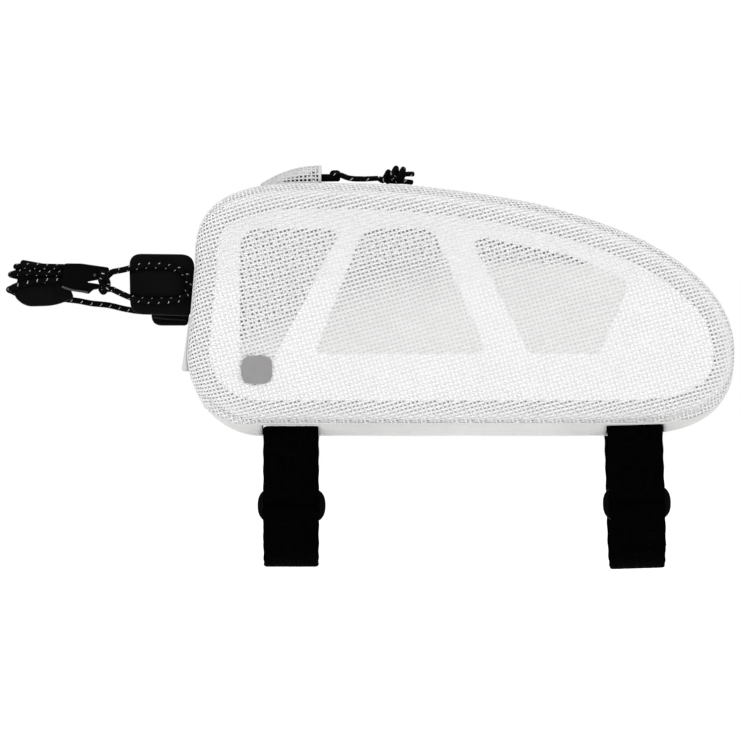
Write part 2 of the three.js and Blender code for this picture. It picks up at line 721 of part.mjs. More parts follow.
function arcPoints(centreY, centreZ, radiusY, radiusZ, fromDeg, toDeg, count) {
  return Array.from({ length: count + 1 }, (_, k) => {
    const angle = THREE.MathUtils.degToRad(fromDeg + ((toDeg - fromDeg) * k) / count);
    return new THREE.Vector2(centreY + radiusY * Math.cos(angle), centreZ + radiusZ * Math.sin(angle));
  });
}

// The strap's middle line across and up, from its sewn end round the ring's upper bar, through the base,
// round the far side and up again to fold over the ring's lower bar.
function strapPath(bottom) {
  const off = RING.wall / 2 + GAP + STRAP_WALL / 2;
  const upper = RING.top - RING.bar;
  const lower = RING.top - RING.height + RING.bar;
  const inside = RING.y + off;
  return [
    new THREE.Vector2(inside, SEWN_END),
    ...arcPoints(RING.y, upper, off, off, 0, -180, 6),
    new THREE.Vector2(RING.y - off, RING.top),
    ...arcPoints(STRAP_TURN - LEG_Y, STRAP_RUN - STRAP_TURN, STRAP_TURN, STRAP_TURN, 180, 90, 4),
    ...arcPoints(LEG_Y - STRAP_TURN, STRAP_RUN - STRAP_TURN, STRAP_TURN, STRAP_TURN, 90, 0, 4),
    ...arcPoints((LEG_Y + inside) / 2, LEG_BOTTOM, (LEG_Y - inside) / 2, LEG_BOTTOM - bottom, 0, -180, 12),
    new THREE.Vector2(inside, lower - RING.bar),
    ...arcPoints(RING.y, lower, off, off, 0, 180, 6),
    new THREE.Vector2(RING.y - off, lower - RING.bar),
    new THREE.Vector2(RING.y - off + STRAP_END_LEAN, STRAP_END),
  ];
}

function ringGeometry() {
  const halfWidth = RING.width / 2;
  const halfHole = halfWidth - RING.end;
  const low = RING.top - RING.height;
  const box = (half, bottom, top, r) => [
    { x: -half, z: bottom, r },
    { x: half, z: bottom, r },
    { x: half, z: top, r },
    { x: -half, z: top, r },
  ];
  const shape = roundedShape(box(halfWidth, low, RING.top, RING.radius));
  shape.holes.push(roundedShape(box(halfHole, low + RING.bar, RING.top - RING.bar, 1)));
  return plate(shape, RING.y + RING.wall / 2, RING.wall, 6);
}

function addStraps() {
  const sideways = new THREE.Matrix4().makeBasis(
    new THREE.Vector3(0, 1, 0),
    new THREE.Vector3(0, 0, 1),
    new THREE.Vector3(1, 0, 0),
  );
  for (const strap of STRAPS) {
    const group = new THREE.Group();
    group.position.set(strap.x, 0, strap.lift);
    group.rotation.y = -THREE.MathUtils.degToRad(strap.tilt);
    bag.add(group);
    const shape = bandShape(strapPath(strap.bottom), STRAP_WALL);
    const band = new THREE.ExtrudeGeometry(shape, { depth: STRAP_WIDTH, bevelEnabled: false });
    band.translate(0, 0, -STRAP_WIDTH / 2);
    band.applyMatrix4(sideways);
    addPiece(`strap_${strap.name}`, band, BLACK_WEBBING, group);
    addPiece(`strap_ring_${strap.name}`, ringGeometry(), BLACK_PLASTIC, group).position.x = strap.ringX;
  }
}

// Front tabs, flap, elastic cord and hook

// The far cord: its lead from the far tab along the pad's back, then its turns round the pad.
function farRoute() {
  const route = [...FAR_LEAD];
  for (const { side, x, from, to, run } of TURNS) {
    TURN_ANGLES.forEach((angle, k) => {
      const turn = THREE.MathUtils.degToRad(angle);
      const out = TURN_RADIUS * Math.cos(turn);
      const across = -side * TURN_RADIUS * Math.sin(turn);
      const z = THREE.MathUtils.lerp(from, to, k / (TURN_ANGLES.length - 1));
      route.push({ x: x + side * out, y: across, z });
    });
    route.push({ x: PAD_MIDDLE, y: side * TURN_RADIUS, z: run });
  }
  return [...route, FAR_END];
}

function addFront() {
  addPiece("front_tab_near", plate(roundedShape(TAB_NEAR), -TAB_Y, TAB_WALL), BLACK_RUBBER);
  addPiece("front_tab_far", plate(roundedShape(TAB_FAR), TAB_Y + TAB_WALL, TAB_WALL), BLACK_RUBBER);
  addPiece("front_flap", plate(roundedShape(FLAP), FLAP_HALF, 2 * FLAP_HALF), WHITE_CLOTH);
  addPiece("bungee_near", tube(NEAR_ROUTE, CORD_RADIUS, NEAR_STEPS), BLACK_CORD);
  const knot = CORD_KNOT.map(ball).reduce((left, right) => left.add(right));
  addPiece("bungee_knot", geometryOf(knot), BLACK_CORD);
  addPiece("hook_plate", plate(roundedShape(HOOK), HOOK_Y, HOOK_WALL), BLACK_PLASTIC);
  addPiece("hook_pad", plate(roundedShape(PAD), PAD_WALL / 2, PAD_WALL), BLACK_RUBBER);
  addPiece("bungee_far", tube(farRoute(), CORD_RADIUS, FAR_STEPS), BLACK_CORD);
}

addSides();
addGusset();
addZipPull();
addPiece("zip_garage", garageGeometry(), WHITE_MESH);
addStraps();
addFront();

export default bag;
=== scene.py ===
import math

import bpy
import numpy as np
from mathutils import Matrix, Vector
from mathutils.geometry import delaunay_2d_cdt


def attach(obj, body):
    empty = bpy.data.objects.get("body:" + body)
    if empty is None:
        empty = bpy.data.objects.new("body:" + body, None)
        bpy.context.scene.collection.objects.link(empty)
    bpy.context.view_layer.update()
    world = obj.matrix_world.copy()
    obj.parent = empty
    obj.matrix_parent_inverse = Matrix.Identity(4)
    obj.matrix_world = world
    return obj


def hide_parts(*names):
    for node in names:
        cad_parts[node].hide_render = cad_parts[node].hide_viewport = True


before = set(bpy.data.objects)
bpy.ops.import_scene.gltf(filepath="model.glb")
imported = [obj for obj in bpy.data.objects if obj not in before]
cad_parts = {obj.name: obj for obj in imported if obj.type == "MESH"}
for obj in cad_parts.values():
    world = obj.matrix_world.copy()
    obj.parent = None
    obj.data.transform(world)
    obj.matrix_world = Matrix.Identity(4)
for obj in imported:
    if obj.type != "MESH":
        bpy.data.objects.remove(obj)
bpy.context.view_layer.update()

MM = 0.001
SEED = 7
BODY = "root"

# View: the middle of the picture, the width it shows at the near seam and the camera's distance; floor, light
VIEW = {"x": -38.64, "z": 30.0, "width": 336.36, "distance": 2600.0}
SENSOR = 36.0
CLIP_END = 100.0
FLOOR = {"z": -170.0, "reach": 9000.0, "colour": (0.92, 0.92, 0.92, 1), "glow": 0.15}
WHITE = (1, 1, 1, 1)
SUN_SPREAD = 35
SUNS = [
    {"name": "key", "turn": (48, 0, -38), "energy": 0.6},
    {"name": "fill", "turn": (60, 0, 50), "energy": 0.25},
]

# Plates: the width of their round edge and the spacing of their points
PLATES = {
    "foam": {"edge": 0.6, "spacing": 1.8},
    "label": {"edge": 0.3, "spacing": 0.8},
    "pocket": {"edge": 0.4, "spacing": 1.0},
    "slider": {"edge": 0.9, "spacing": 0.8},
    "bail": {"edge": 0.6, "spacing": 0.5},
    "garage_shade_tab": {"edge": 0.8, "spacing": 0.9},
    "ring": {"edge": 1.0, "spacing": 0.9},
    "tab_near": {"edge": 1.2, "spacing": 1.0},
    "tab_far": {"edge": 0.9, "spacing": 0.6},
    "pad": {"edge": 1.0, "spacing": 0.5},
    "hook": {"edge": 0.9, "spacing": 0.6},
    "rivet": {"edge": 0.3, "spacing": 0.2},
}
# Rows of points that shape a plate's round edge, as shares of its width
EDGE_ROWS = (0.08, 0.3, 0.62, 1.0)

# Stitches: their length and pitch, their thread's radius, and its rise, sink and flattening as shares of that
STITCH = {"length": 2.1, "pitch": 3.0, "radius": 0.15, "rise": 1.6, "sink": 0.6, "flat": 1.25}

# Side seam: quarter superellipses about x, z that reach end_x across and end_z up
HALF_SEAM = 21.15
SEAM_BASE = 6.8
SEAM_TOP = 112.5
ZIP_FRONT = -60.0
FRONT_TOP = {"x": ZIP_FRONT, "z": 78.0, "end_x": -117.5, "end_z": SEAM_TOP, "power": 3.0}
CORNERS = [
    {"x": 68.0, "z": 38.0, "end_x": 126.4, "end_z": SEAM_BASE, "power": 2.7},
    {"x": ZIP_FRONT, "z": 38.0, "end_x": 126.4, "end_z": SEAM_TOP, "power": 2.1},
    FRONT_TOP,
    {"x": -88.0, "z": 38.0, "end_x": -121.0, "end_z": SEAM_BASE, "power": 2.0},
]
CORNER_SAMPLES = 400
SEAM_STEP = 0.5

# Binding of the mesh's edge: its half width and half thickness
BINDING = {"half": 0.75, "wall": 0.35}

# Side panel: its rounded edge and its dome
EDGE_INSET = 9.0
EDGE_RISE = 5.6
DOME_RISE = 1.4
DOME_REACH = 40.0

# Woven mesh: the yarns' pitch, the half widths of rows and of columns, half thickness and the rows' tilt
YARN = {"pitch": 1.9, "row": 0.62, "column": 0.46, "wall": 0.15, "lift": 0.13, "tilt": 16.0}
MESH_DROP = 0.4
MESH_REACH = 150.0
# The yarns wander in x and in z, by waves along that axis and across it
MESH_DRIFT = 0.175
DRIFT_WAVES = [
    {"wave": 9.0, "bend": 1.3, "bend_wave": 14.0, "cross": 6.0, "skew": 23.0},
    {"wave": 8.0, "bend": 1.1, "bend_wave": 17.0, "cross": 5.0, "skew": -19.0},
]
DRIFT_CROSS = 0.6
# Past the seam the mesh wraps onto the gusset: least where the seam faces down and most on the rest of it, by
# the upward part of the seam's normal
WRAP = {"lift": 0.35, "up": (-1.0, -0.99, -0.95, -0.8), "width": (0.8, 1.7, 3.4, 4.6)}

# Lining behind the mesh on the panel's round edge: places in from the seam and its depths under the face
LINING = {
    "reach": (0.2, 2.0, 4.0, 5.0, 6.2, 7.5, 9.5, 11.5),
    "depth": (0.55, 0.55, 0.58, 0.65, 0.95, 1.2, 1.4, 1.5),
}
LINING_WALL = 0.5
# On the front end the lining lies deeper, by as much as the seam's normal points forwards
LINING_FRONT = {"depth": 1.9, "none": 0.5, "full": 0.9}

# Foam frame: its edge's distance from the seam, its depths under the panel's face, and its windows of corners
# x, z with a radius
FOAM = {"inset": 9.0, "front": 0.34, "back": 3.9}
# The foam lies a little further behind the mesh towards the top
FOAM_SINK = {"from": 66.0, "to": 96.0, "depth": 0.32}
WINDOWS = [
    [(-97.3, 93.6, 10), (-52.2, 93.6, 4), (-88.4, 23.6, 3), (-97.3, 23.6, 3)],
    [(-63.2, 37.7, 2.5), (-41.5, 93.6, 9), (-10.5, 93.6, 9), (14.1, 37.7, 2.5)],
    [(34, 37.7, 3), (6.8, 91, 4), (54, 81, 30), (79, 70, 7), (65, 37.7, 5)],
]
POCKET = [
    (-101, 20, 6), (-101, 42, 8), (-70, 58, 8), (-48, 75, 8), (-30, 80, 10), (74, 77.5, 10), (96, 50, 12),
    (88, 14, 6),
]
POCKET_Y = -22.36
POCKET_HALF = 0.45
# The pocket's cloth fills the windows: it lies on the mesh low down and leans away from it higher up, by
# gaps that go with the height over a line that rises towards the tail and drops behind the front window
POCKET_LEAN = {"x": -24.0, "rise": 0.3, "reach": 1.5, "front": -64.0, "drop": 4.0, "blend": 4.0}
POCKET_GAP = {"height": (50.0, 64.0, 74.0, 80.0), "gap": (0.12, 0.28, 0.6, 2.2)}
# The pocket's slack: a quilt of waves in x and z, and folds across both
POCKET_SLACK = {"quilt": 0.2, "x": 11.0, "z": 17.0, "fold": 0.15, "fold_wave": 7.0}
LABEL = {"x": -90.0, "z": 30.1, "width": 13.9, "height": 12.7, "radius": 4.9, "wall": 0.6, "lift": 0.15}

# Gusset: its crown, its flat middle share and where its strips meet
BASE_CROWN = SEAM_BASE
TOP_CROWN = 3.0
SIDE_CROWN = 0.4
FLAT_SHARE = 0.45
GUSSET_WALL = 1.2
BASE_FRONT_SHARE = 0.72
BASE_TAIL_SHARE = 0.86
ZIP_TAIL_SHARE = 0.31
ZIP_HALF = 3.6
GUSSET_STEP = 1.6
STITCH_INSET = 6.6
STITCH_STEP = 0.8
# Slack in the gusset's cloth and the pucker at its seams: height, waves, and how far in they fade
SLACK = {"height": 0.22, "along": 9.0, "bend": 2.1, "bend_wave": 8.0, "across": 9.0, "held": 3.0}
PUCKER = {"height": 0.03, "along": 1.15, "fade": 2.2, "held": 0.8}
# Cross seams: their rows of stitches to each side, their ends, and the fold's half width and thickness
FOLD = {"stitch": 2.2, "inset": 0.4, "half": 1.0, "wall": 0.5}
# Zip tape under the strips, and the coil's teeth, which cross the middle from either side
TAPE = {"spare": 1.4, "top": 0.1, "bottom": 0.7, "stitch": 1.5}
TEETH = {"pitch": 0.75, "margin": 1.0, "from": 2.3, "to": -0.7, "lift": -0.35, "radius": 0.6, "tip": 0.7}

# Zip slider, pull cord and garage
SLIDER = {"x": -58.4, "length": 12.4, "width": 8.0, "floor": 116.4, "plate": 3.3, "taper": 0.12}
BAIL = {"x": -54.6, "length": 5.4, "low": 118.0, "high": 121.6, "width": 2.4, "power": 0.6}
EYE = {"at": (-54.6, 119.6), "radius": 1.25}
PULL_RADIUS = 1.2
PULL_TIP = 0.7
PULL_ROUTE = [
    (-34.9, -1.5, 117.8), (-42.0, -1.7, 117.4), (-48.0, -2.7, 117.7), (-52.4, -4.2, 119.2),
    (-54.6, -2.4, 119.6), (-54.6, 2.4, 119.6), (-52.4, 4.2, 119.6), (-48.0, 2.7, 118.1),
    (-42.0, 1.5, 117.7), (-34.9, 1.4, 117.9),
]
# The knot's turns, from end to end: their middles and their radii
PULL_WRAP = {"x": (-32.0, -30.4, -27.0, -24.2, -23.2), "z": (118.6, 118.7, 119.6, 119.4, 119.4),
             "radius": (1.9, 2.4, 3.2, 2.8, 1.9), "y": 0.2, "turns": 3.25, "slant": 0.8}
PULL_HEART = [(-31.0, 0.6, 116.9), (-27.0, 0.2, 116.4), (-23.6, 0.2, 116.4)]
PULL_ENDS = [(-18.2, -1.8, 119.8), (-18.8, 1.4, 116.0)]
GARAGE = {"front": -88.0, "mouth": -61.6, "half": 11.0, "heel": 1.6, "height": 8.2, "foot": 3.3, "inset": 0.5}
GARAGE_CELLS = {"pitch": 1.9, "arch": 13, "half": 0.4}
# Lower edge of the garage's lining: places along it and the shares of the arch that stay open
GARAGE_OPEN = {"x": (-88.0, -79.0, -77.0, -67.5, -65.0, -60.6), "share": (0.0, 0.02, 0.12, 0.13, 0.24, 0.3)}
GARAGE_LINING = {"top": 0.15, "bottom": 0.6}
GARAGE_HEM = {"half": 0.7, "wall": 0.4}
# Dark tab inside the garage that paints the shade of its interior: its ends along x, half width, heights and
# corner radius
GARAGE_SHADE = {"from": -78.6, "to": -65.6, "half": 5.0, "low": 115.3, "high": 117.9, "radius": 2.0}

# Straps and rings
STRAP = {"width": 25.0, "wall": 1.6, "run": 3.4, "turn": 2.6, "leg": 19.4, "leg_bottom": -46.0}
# The strap's surface: its points along and across, the squareness of its edges, its pile and its wavy edges
WEBBING = {"step": 0.6, "columns": 45, "crowd": 1.15, "square": 24, "pile": 0.05, "pile_from": 0.3}
WAVY_EDGE = {"depth": 0.12, "turn": 0.45, "power": 9}
STRAP_TAIL = {"end": -51.4, "lean": 2.0, "sewn": -13.0}
STRAPS = [
    {"name": "front", "x": -74.7, "lift": 0.0, "tilt": 0.0, "bottom": -59.4, "ring_x": 0.4},
    {"name": "rear", "x": 82.0, "lift": 1.0, "tilt": 1.7, "bottom": -61.2, "ring_x": -0.2},
]
SLOT = {"half": 12.7, "inner": 12.0, "outer": 19.0}
RING = {"width": 31.0, "height": 16.0, "wall": 2.4, "bar": 4.0, "end": 3.4, "radius": 7.6, "hole_radius": 1.0}
RING_TOP = -23.6
RING_Y = -19.2
# The strap's turns round the ring's bars: their reach out of the ring and into its opening
RING_OFF = 2.3
RING_LOOP = 3.4

# Front tabs, flap, elastic cord and hook
TAB_Y = 10.5
TAB_HALF = 1.5
TAB_NEAR = [(-148.6, 83.1, 5.5), (-148, 55.5, 6), (-120.4, 54.6, 2.5), (-118.3, 82.8, 6.5)]
# The near tab's raised middle and the far tab's thicker lower rim
NEAR_RAISED = {"high": 75.3, "low": 63.9, "back": -124.3, "height": 1.1}
FAR_RIM = {"z": 53.5, "height": 0.6, "blend": 0.5}
# A thin bead along the far tab's lower rim whose lighter grey paints the highlight line on that rim
TAB_BEAD = {
    "route": [(-138.2, 8.6, 54.2), (-134.0, 8.5, 53.6), (-128.0, 8.5, 53.2), (-122.8, 8.6, 52.9)],
    "step": 0.6, "radius": 0.4, "tip": 0.8, "sides": 10,
}
TAB_FAR = [(-139.2, 77.5, 5), (-139.2, 50.4, 5), (-122.5, 50.4, 2), (-118.5, 77, 4)]
# The flap's front and back faces, x at heights z from its top down
FLAP = {"half": 15.0, "z": (54.2, 46.0, 38.0, 30.6, 29.4), "front": (-121.1, -122.3, -123.4, -124.4, -123.6),
        "back": (-120.5, -121.2, -121.9, -121.3, -121.2), "hem": 30.1}
FLAP_BOW = {"middle": 0.25, "width": 6.0, "low": 0.12, "wave": 4.0}
CORD_RADIUS = 1.4
CORD_TIP = 0.9
CORD_Y = 13.7
NEAR_ROUTE = [
    (-156.2, -11.2, 74.8), (-150.6, -CORD_Y, 75.8), (-146.0, -CORD_Y, 77.0), (-139.0, -CORD_Y, 77.7),
    (-131.0, -CORD_Y, 77.2), (-125.0, -CORD_Y, 75.4), (-121.9, -CORD_Y, 72.2), (-121.2, -CORD_Y, 68.5),
    (-122.2, -CORD_Y, 64.8), (-125.4, -CORD_Y, 62.4), (-132.0, -CORD_Y, 61.6), (-140.0, -CORD_Y, 61.6),
    (-146.0, -CORD_Y, 62.4), (-150.6, -CORD_Y, 64.2), (-156.2, -11.2, 66.8),
]
PAD_HALF = 1.5
PAD_MIDDLE = -189.0
PAD = [
    (-198.2, 80.6, 2.2), (-179.4, 77.2, 3), (-174.2, 62.9, 1.5), (-183, 59.4, 30), (-196.4, 59, 9),
    (-202.2, 63.8, 5), (-200.2, 71.5, 5), (-198, 78.2, 0.6), (-199.2, 78.8, 0.4),
]
RIBS = {"from": -197.5, "to": -182.5, "low": 60.8, "high": 69.0, "pitch": 3.75, "depth": 0.6}
WINDING_GAP = 0.3
TURN_RADIUS = PAD_HALF + WINDING_GAP + CORD_RADIUS
FAR_LEAD = [
    (-136.4, CORD_Y, 72.4), (-129.0, CORD_Y, 72.8), (-124.4, CORD_Y, 70.2), (-123.4, CORD_Y, 65.8),
    (-126.0, CORD_Y, 61.6), (-131.6, CORD_Y, 58.8), (-138.0, CORD_Y, 57.4), (-144.0, 12.6, 57.0),
    (-151.0, 10.4, 58.0), (-159.0, 7.6, 59.8), (-166.5, 5.0, 60.6), (-172.4, 3.5, 61.7),
    (-178.1, TURN_RADIUS, 62.4), (PAD_MIDDLE, TURN_RADIUS, 64.0),
]
# Half turns round the pad, -1 at its front end and 1 at its hook end: the turn's middle, its heights going
# in and out, and the height half way along the run that follows
TURNS = [
    {"side": -1, "x": -200.9, "from": 65.2, "to": 68.4, "run": 71.0},
    {"side": 1, "x": -176.9, "from": 71.0, "to": 71.2, "run": 72.7},
    {"side": -1, "x": -200.0, "from": 72.8, "to": 74.6, "run": 74.3},
    {"side": 1, "x": -177.9, "from": 74.1, "to": 74.3, "run": 75.8},
    {"side": -1, "x": -197.6, "from": 77.2, "to": 77.5, "run": 77.4},
]
TURN_ANGLES = (90, 60, 0, -60, -90)
FAR_END = (-174.5, -TURN_RADIUS, 77.0)
# The hitch at the hook: strands laid round each other, and the bends between them
KNOT = {"x": -159.9, "y": -10.7, "high": 72.7, "low": 67.3, "radius": 1.6, "start": 30.0, "twist": 150.0}
KNOT_STRANDS = 3
KNOT_BEND = {"reach": 1.7, "radius": 0.8}
HOOK = [
    (-178.8, 78.8, 2), (-179.6, 67.6, 0.8), (-173.4, 66, 5), (-167.2, 64.7, 0.8), (-165.2, 66.6, 1),
    (-162.8, 67, 0.5), (-162.4, 69.3, 0.4), (-168.4, 70.2, 0.2), (-162.4, 71.3, 1), (-157.6, 73.8, 1),
    (-158, 76.9, 1), (-170.5, 78.7, 8),
]
HOOK_Y = -6.3
HOOK_HALF = 1.3
# The hook's lip: a thin bead whose lighter grey paints the highlight along the hook's lower edge
HOOK_LIP = {
    "route": [(-179.6, -7.3, 68.2), (-175.0, -7.7, 66.6), (-170.6, -7.7, 65.9), (-167.2, -7.4, 65.4)],
    "step": 0.4, "radius": 0.5, "tip": 1.2, "sides": 12,
}
RIVET = {"at": (-164.4, 73.4), "radius": 0.7, "half": 0.35}

# Braid: strands each way, the depth between them, the sides and the step of its mesh, and for each cord the
# length in which a strand goes round once
BRAID = {"strands": 6, "depth": 0.16, "sides": 36, "step": 0.22}
BUNGEE_TURN = 4.5
PULL_TURN = 7.7
# Reflective strand: the shares of its width and of its run over two others that catch the light
FLECK = {"width": 0.21, "length": 0.9}


# Meshes: a shape is a pair of points and face blocks, each block an array of faces with equal corners


def joined(shapes):
    points = []
    blocks = []
    start = 0
    for shape_points, shape_blocks in shapes:
        points.append(shape_points)
        blocks.extend(block + start for block in shape_blocks)
        start += len(shape_points)
    return np.concatenate(points), blocks


def mirrored(shape):
    points, blocks = shape
    return points * [1, -1, 1], [block[:, ::-1] for block in blocks]


def grid_faces(rows, columns, closed=False):
    i, j = np.meshgrid(np.arange(rows - 1), np.arange(columns - (not closed)), indexing="ij")
    k = (j + 1) % columns
    below = i * columns
    above = below + columns
    return np.stack([below + j, below + k, above + k, above + j], axis=-1).reshape(-1, 4)


def point_grid(x, y, z):
    return np.stack(np.broadcast_arrays(x, y, z), axis=2)


def only_used(points, blocks):
    """A shape without the points that none of its faces use."""
    used = np.unique(np.concatenate([block.ravel() for block in blocks]))
    place = np.full(len(points), -1)
    place[used] = np.arange(len(used))
    return points[used], [place[block] for block in blocks if len(block)]


def add_object(name, data):
    thing = bpy.data.objects.new(name, data)
    bpy.context.scene.collection.objects.link(thing)
    return thing


def add_piece(name, shape, look, replaced=None, flecks=None):
    """A piece of the scene in one look, with the faces that are flecks in another."""
    points, blocks = shape
    mesh = bpy.data.meshes.new(name)
    faces = [face for block in blocks for face in block.tolist()]
    mesh.from_pydata((points * MM).tolist(), [], faces)
    mesh.polygons.foreach_set("use_smooth", np.ones(len(faces), bool))
    mesh.materials.append(looks[look])
    if flecks is not None:
        mesh.materials.append(looks["fleck"])
        mesh.polygons.foreach_set("material_index", flecks.astype(np.int32))
    mesh.update()
    piece = add_object(name, mesh)
    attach(piece, BODY)
    if replaced:
        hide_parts(replaced)
    return piece


# Paths and tubes


def unit(vectors):
    return vectors / np.maximum(np.linalg.norm(vectors, axis=-1, keepdims=True), 1e-12)


def round_angles(count):
    return np.linspace(0, 2 * math.pi, count, endpoint=False)


def circle(middle, radius, count):
    angle = round_angles(count)
    return np.array(middle) + radius * np.column_stack([np.cos(angle), np.sin(angle)])


def loop_directions(loop):
    return unit(np.roll(loop, -1, axis=0) - np.roll(loop, 1, axis=0))


def arc_lengths(path):
    return np.concatenate([[0], np.cumsum(np.linalg.norm(np.diff(path, axis=0), axis=1))])


def at_lengths(path, lengths):
    arc = arc_lengths(path)
    return np.stack([np.interp(lengths, arc, path[:, axis]) for axis in range(path.shape[1])], axis=1)


def resampled(path, step):
    total = arc_lengths(path)[-1]
    return at_lengths(path, np.linspace(0, total, max(2, round(total / step) + 1)))


def smooth_path(route, step, samples=24):
    """A centripetal Catmull-Rom curve through the route's points, as points an even step apart."""
    points = np.array(route, float)
    ends = [2 * points[0] - points[1], 2 * points[-1] - points[-2]]
    points = np.concatenate([ends[:1], points, ends[1:]])
    share = np.linspace(0, 1, samples, endpoint=False)[:, None]
    path = []
    for a, b, c, d in zip(points, points[1:], points[2:], points[3:]):
        ab, bc, cd = (np.linalg.norm(q - p) ** 0.5 for p, q in ((a, b), (b, c), (c, d)))
        leave = ((b - a) / ab - (c - a) / (ab + bc) + (c - b) / bc) * bc
        reach = ((c - b) / bc - (d - b) / (bc + cd) + (d - c) / cd) * bc
        cubic = 2 * b - 2 * c + leave + reach
        square = -3 * b + 3 * c - 2 * leave - reach
        path.append(b + share * (leave + share * (square + share * cubic)))
    path.append(points[-2:-1])
    return resampled(np.concatenate(path), step)


def side_vectors(path):
    """Two vectors across the path at each point, carried along it without twist."""
    along = unit(np.gradient(path, axis=0))
    start = np.eye(3)[np.argmin(np.abs(along[0]))]
    first = np.empty_like(path)
    for i, direction in enumerate(along):
        start = start - direction * (start @ direction)
        start = start / np.linalg.norm(start)
        first[i] = start
    return first, np.cross(along, first)


def ring_tube(rings):
    """A closed tube through rings of points, [ring, corner, axis], with flat ends."""
    rows, columns, _ = rings.shape
    last = (rows - 1) * columns
    loop = np.arange(columns)
    blocks = [grid_faces(rows, columns, closed=True), loop[None, ::-1], last + loop[None, :]]
    return rings.reshape(-1, 3), blocks


def endless_tube(rings):
    """A tube through rings of points whose last ring joins its first."""
    rows, columns, _ = rings.shape
    return rings.reshape(-1, 3), [grid_faces(rows + 1, columns, closed=True) % (rows * columns)]


def tube(path, radius, sides):
    """A round tube along a path; the radius is one number or one for each ring and side."""
    angle = round_angles(sides)
    first, second = side_vectors(path)
    spread = np.broadcast_to(radius, (len(path), sides))[:, :, None]
    out = first[:, None] * np.cos(angle)[:, None] + second[:, None] * np.sin(angle)[:, None]
    return ring_tube(path[:, None] + spread * out)


def oval_rings(path, along, normals, half, wall, sides):
    """Oval sections along a path that lies on a surface with the given normals."""
    across = unit(np.cross(normals, along))
    angle = round_angles(sides)[:, None]
    out = half * across[:, None] * np.cos(angle) + wall * normals[:, None] * np.sin(angle)
    return path[:, None] + out


def flat_tube(path, normals, half, wall, sides=6):
    along = unit(np.gradient(path, axis=0))
    return ring_tube(oval_rings(path, along, normals, half, wall, sides))


def round_tips(path, radius, tip):
    """The radius along a path whose ends close in round tips."""
    arc = arc_lengths(path)
    left = np.minimum(arc, arc[-1] - arc)
    return radius * np.sqrt(np.clip(1 - (1 - np.clip(left / tip, 0.02, 1)) ** 2, 0, 1))


def bead(route, step, radius, tip, sides):
    """A thin tube with round tips along a route."""
    path = smooth_path(route, step)
    return tube(path, round_tips(path, radius, tip)[:, None], sides)


def stitches(line, normals):
    """Short threads along a line on a surface, each rising out of the cloth and back into it."""
    length, pitch, radius = (STITCH[key] for key in ("length", "pitch", "radius"))
    arc = arc_lengths(line)
    share = np.linspace(0, 1, 5)
    rise = (radius * (STITCH["rise"] * np.sin(math.pi * share) - STITCH["sink"]))[:, None]
    parts = []
    for start in np.arange(pitch / 2, arc[-1] - length, pitch):
        at = start + length * share
        out = unit(at_lengths(normals, np.interp(at, arc, arc_lengths(normals))))
        parts.append(flat_tube(at_lengths(line, at) + out * rise, out, STITCH["flat"] * radius, radius))
    return joined(parts)


# Plates with round edges


def rounded_outline(corners, samples=9):
    """A closed outline through corners of x, z and radius, each rounded by a quadratic curve."""
    places = np.array(corners, float)[:, :2]
    share = np.linspace(0, 1, samples)[:, None]
    outline = []
    for i, corner in enumerate(corners):
        here = places[i]
        back = places[i - 1] - here
        on = places[(i + 1) % len(places)] - here
        lengths = np.linalg.norm(back), np.linalg.norm(on)
        half = math.acos(np.clip(back @ on / (lengths[0] * lengths[1]), -1, 1)) / 2
        cut = min(corner[2] / math.tan(half), lengths[0] / 2.1, lengths[1] / 2.1)
        start = here + back / lengths[0] * cut
        end = here + on / lengths[1] * cut
        outline.append((1 - share) ** 2 * start + 2 * share * (1 - share) * here + share**2 * end)
    return np.concatenate(outline)


def rounded_box(low, high, radius):
    """The outline of a box from its low to its high corner, with round corners."""
    (left, bottom), (right, top) = low, high
    corners = ((left, bottom), (right, bottom), (right, top), (left, top))
    return rounded_outline([(*corner, radius) for corner in corners])


def loop_area(loop):
    """The area of a loop, negative if it runs clockwise."""
    x, z = loop.T
    return np.sum(x * np.roll(z, -1) - np.roll(x, -1) * z) / 2


def even_loop(outline, spacing):
    closed = np.concatenate([outline, outline[:1]])
    loop = resampled(closed, spacing)[:-1]
    return loop if loop_area(loop) > 0 else loop[::-1]


def inside_loop(points, loop):
    x, z = points[:, :1], points[:, 1:]
    ax, az = loop.T
    bx, bz = np.roll(loop, -1, axis=0).T
    crosses = (az > z) != (bz > z)
    rise = np.where(bz == az, 1, bz - az)
    return (np.sum(crosses & (x < ax + (z - az) * (bx - ax) / rise), axis=1) % 2).astype(bool)


def loop_distance(points, loops):
    """The distance from each point to the nearest edge of the loops."""
    best = np.full(len(points), np.inf)
    for loop in loops:
        edge = np.roll(loop, -1, axis=0) - loop
        reach = points[:, None] - loop[None]
        share = np.clip(np.sum(reach * edge, axis=2) / np.sum(edge**2, axis=1), 0, 1)
        gap = np.linalg.norm(reach - share[:, :, None] * edge, axis=2)
        best = np.minimum(best, gap.min(axis=1))
    return best


def plate_seeds(loops, edge, spacing):
    """Points to triangulate: the loops, rows near them that shape the round edge, and a grid."""
    seeds = [np.concatenate(loops)]
    for share in EDGE_ROWS:
        for k, loop in enumerate(loops):
            along = loop_directions(loop)
            inward = np.stack([-along[:, 1], along[:, 0]], axis=1) * (1 if k == 0 else -1)
            row = loop + inward * edge * share
            seeds.append(row[loop_distance(row, loops) > 0.85 * edge * share])
    low, high = loops[0].min(axis=0), loops[0].max(axis=0)
    grid = np.stack(np.meshgrid(*(np.arange(a, b, 2 * spacing) for a, b in zip(low, high))), axis=-1)
    grid = grid.reshape(-1, 2)
    seeds.append(grid[loop_distance(grid, loops) > edge + spacing])
    return np.concatenate(seeds)


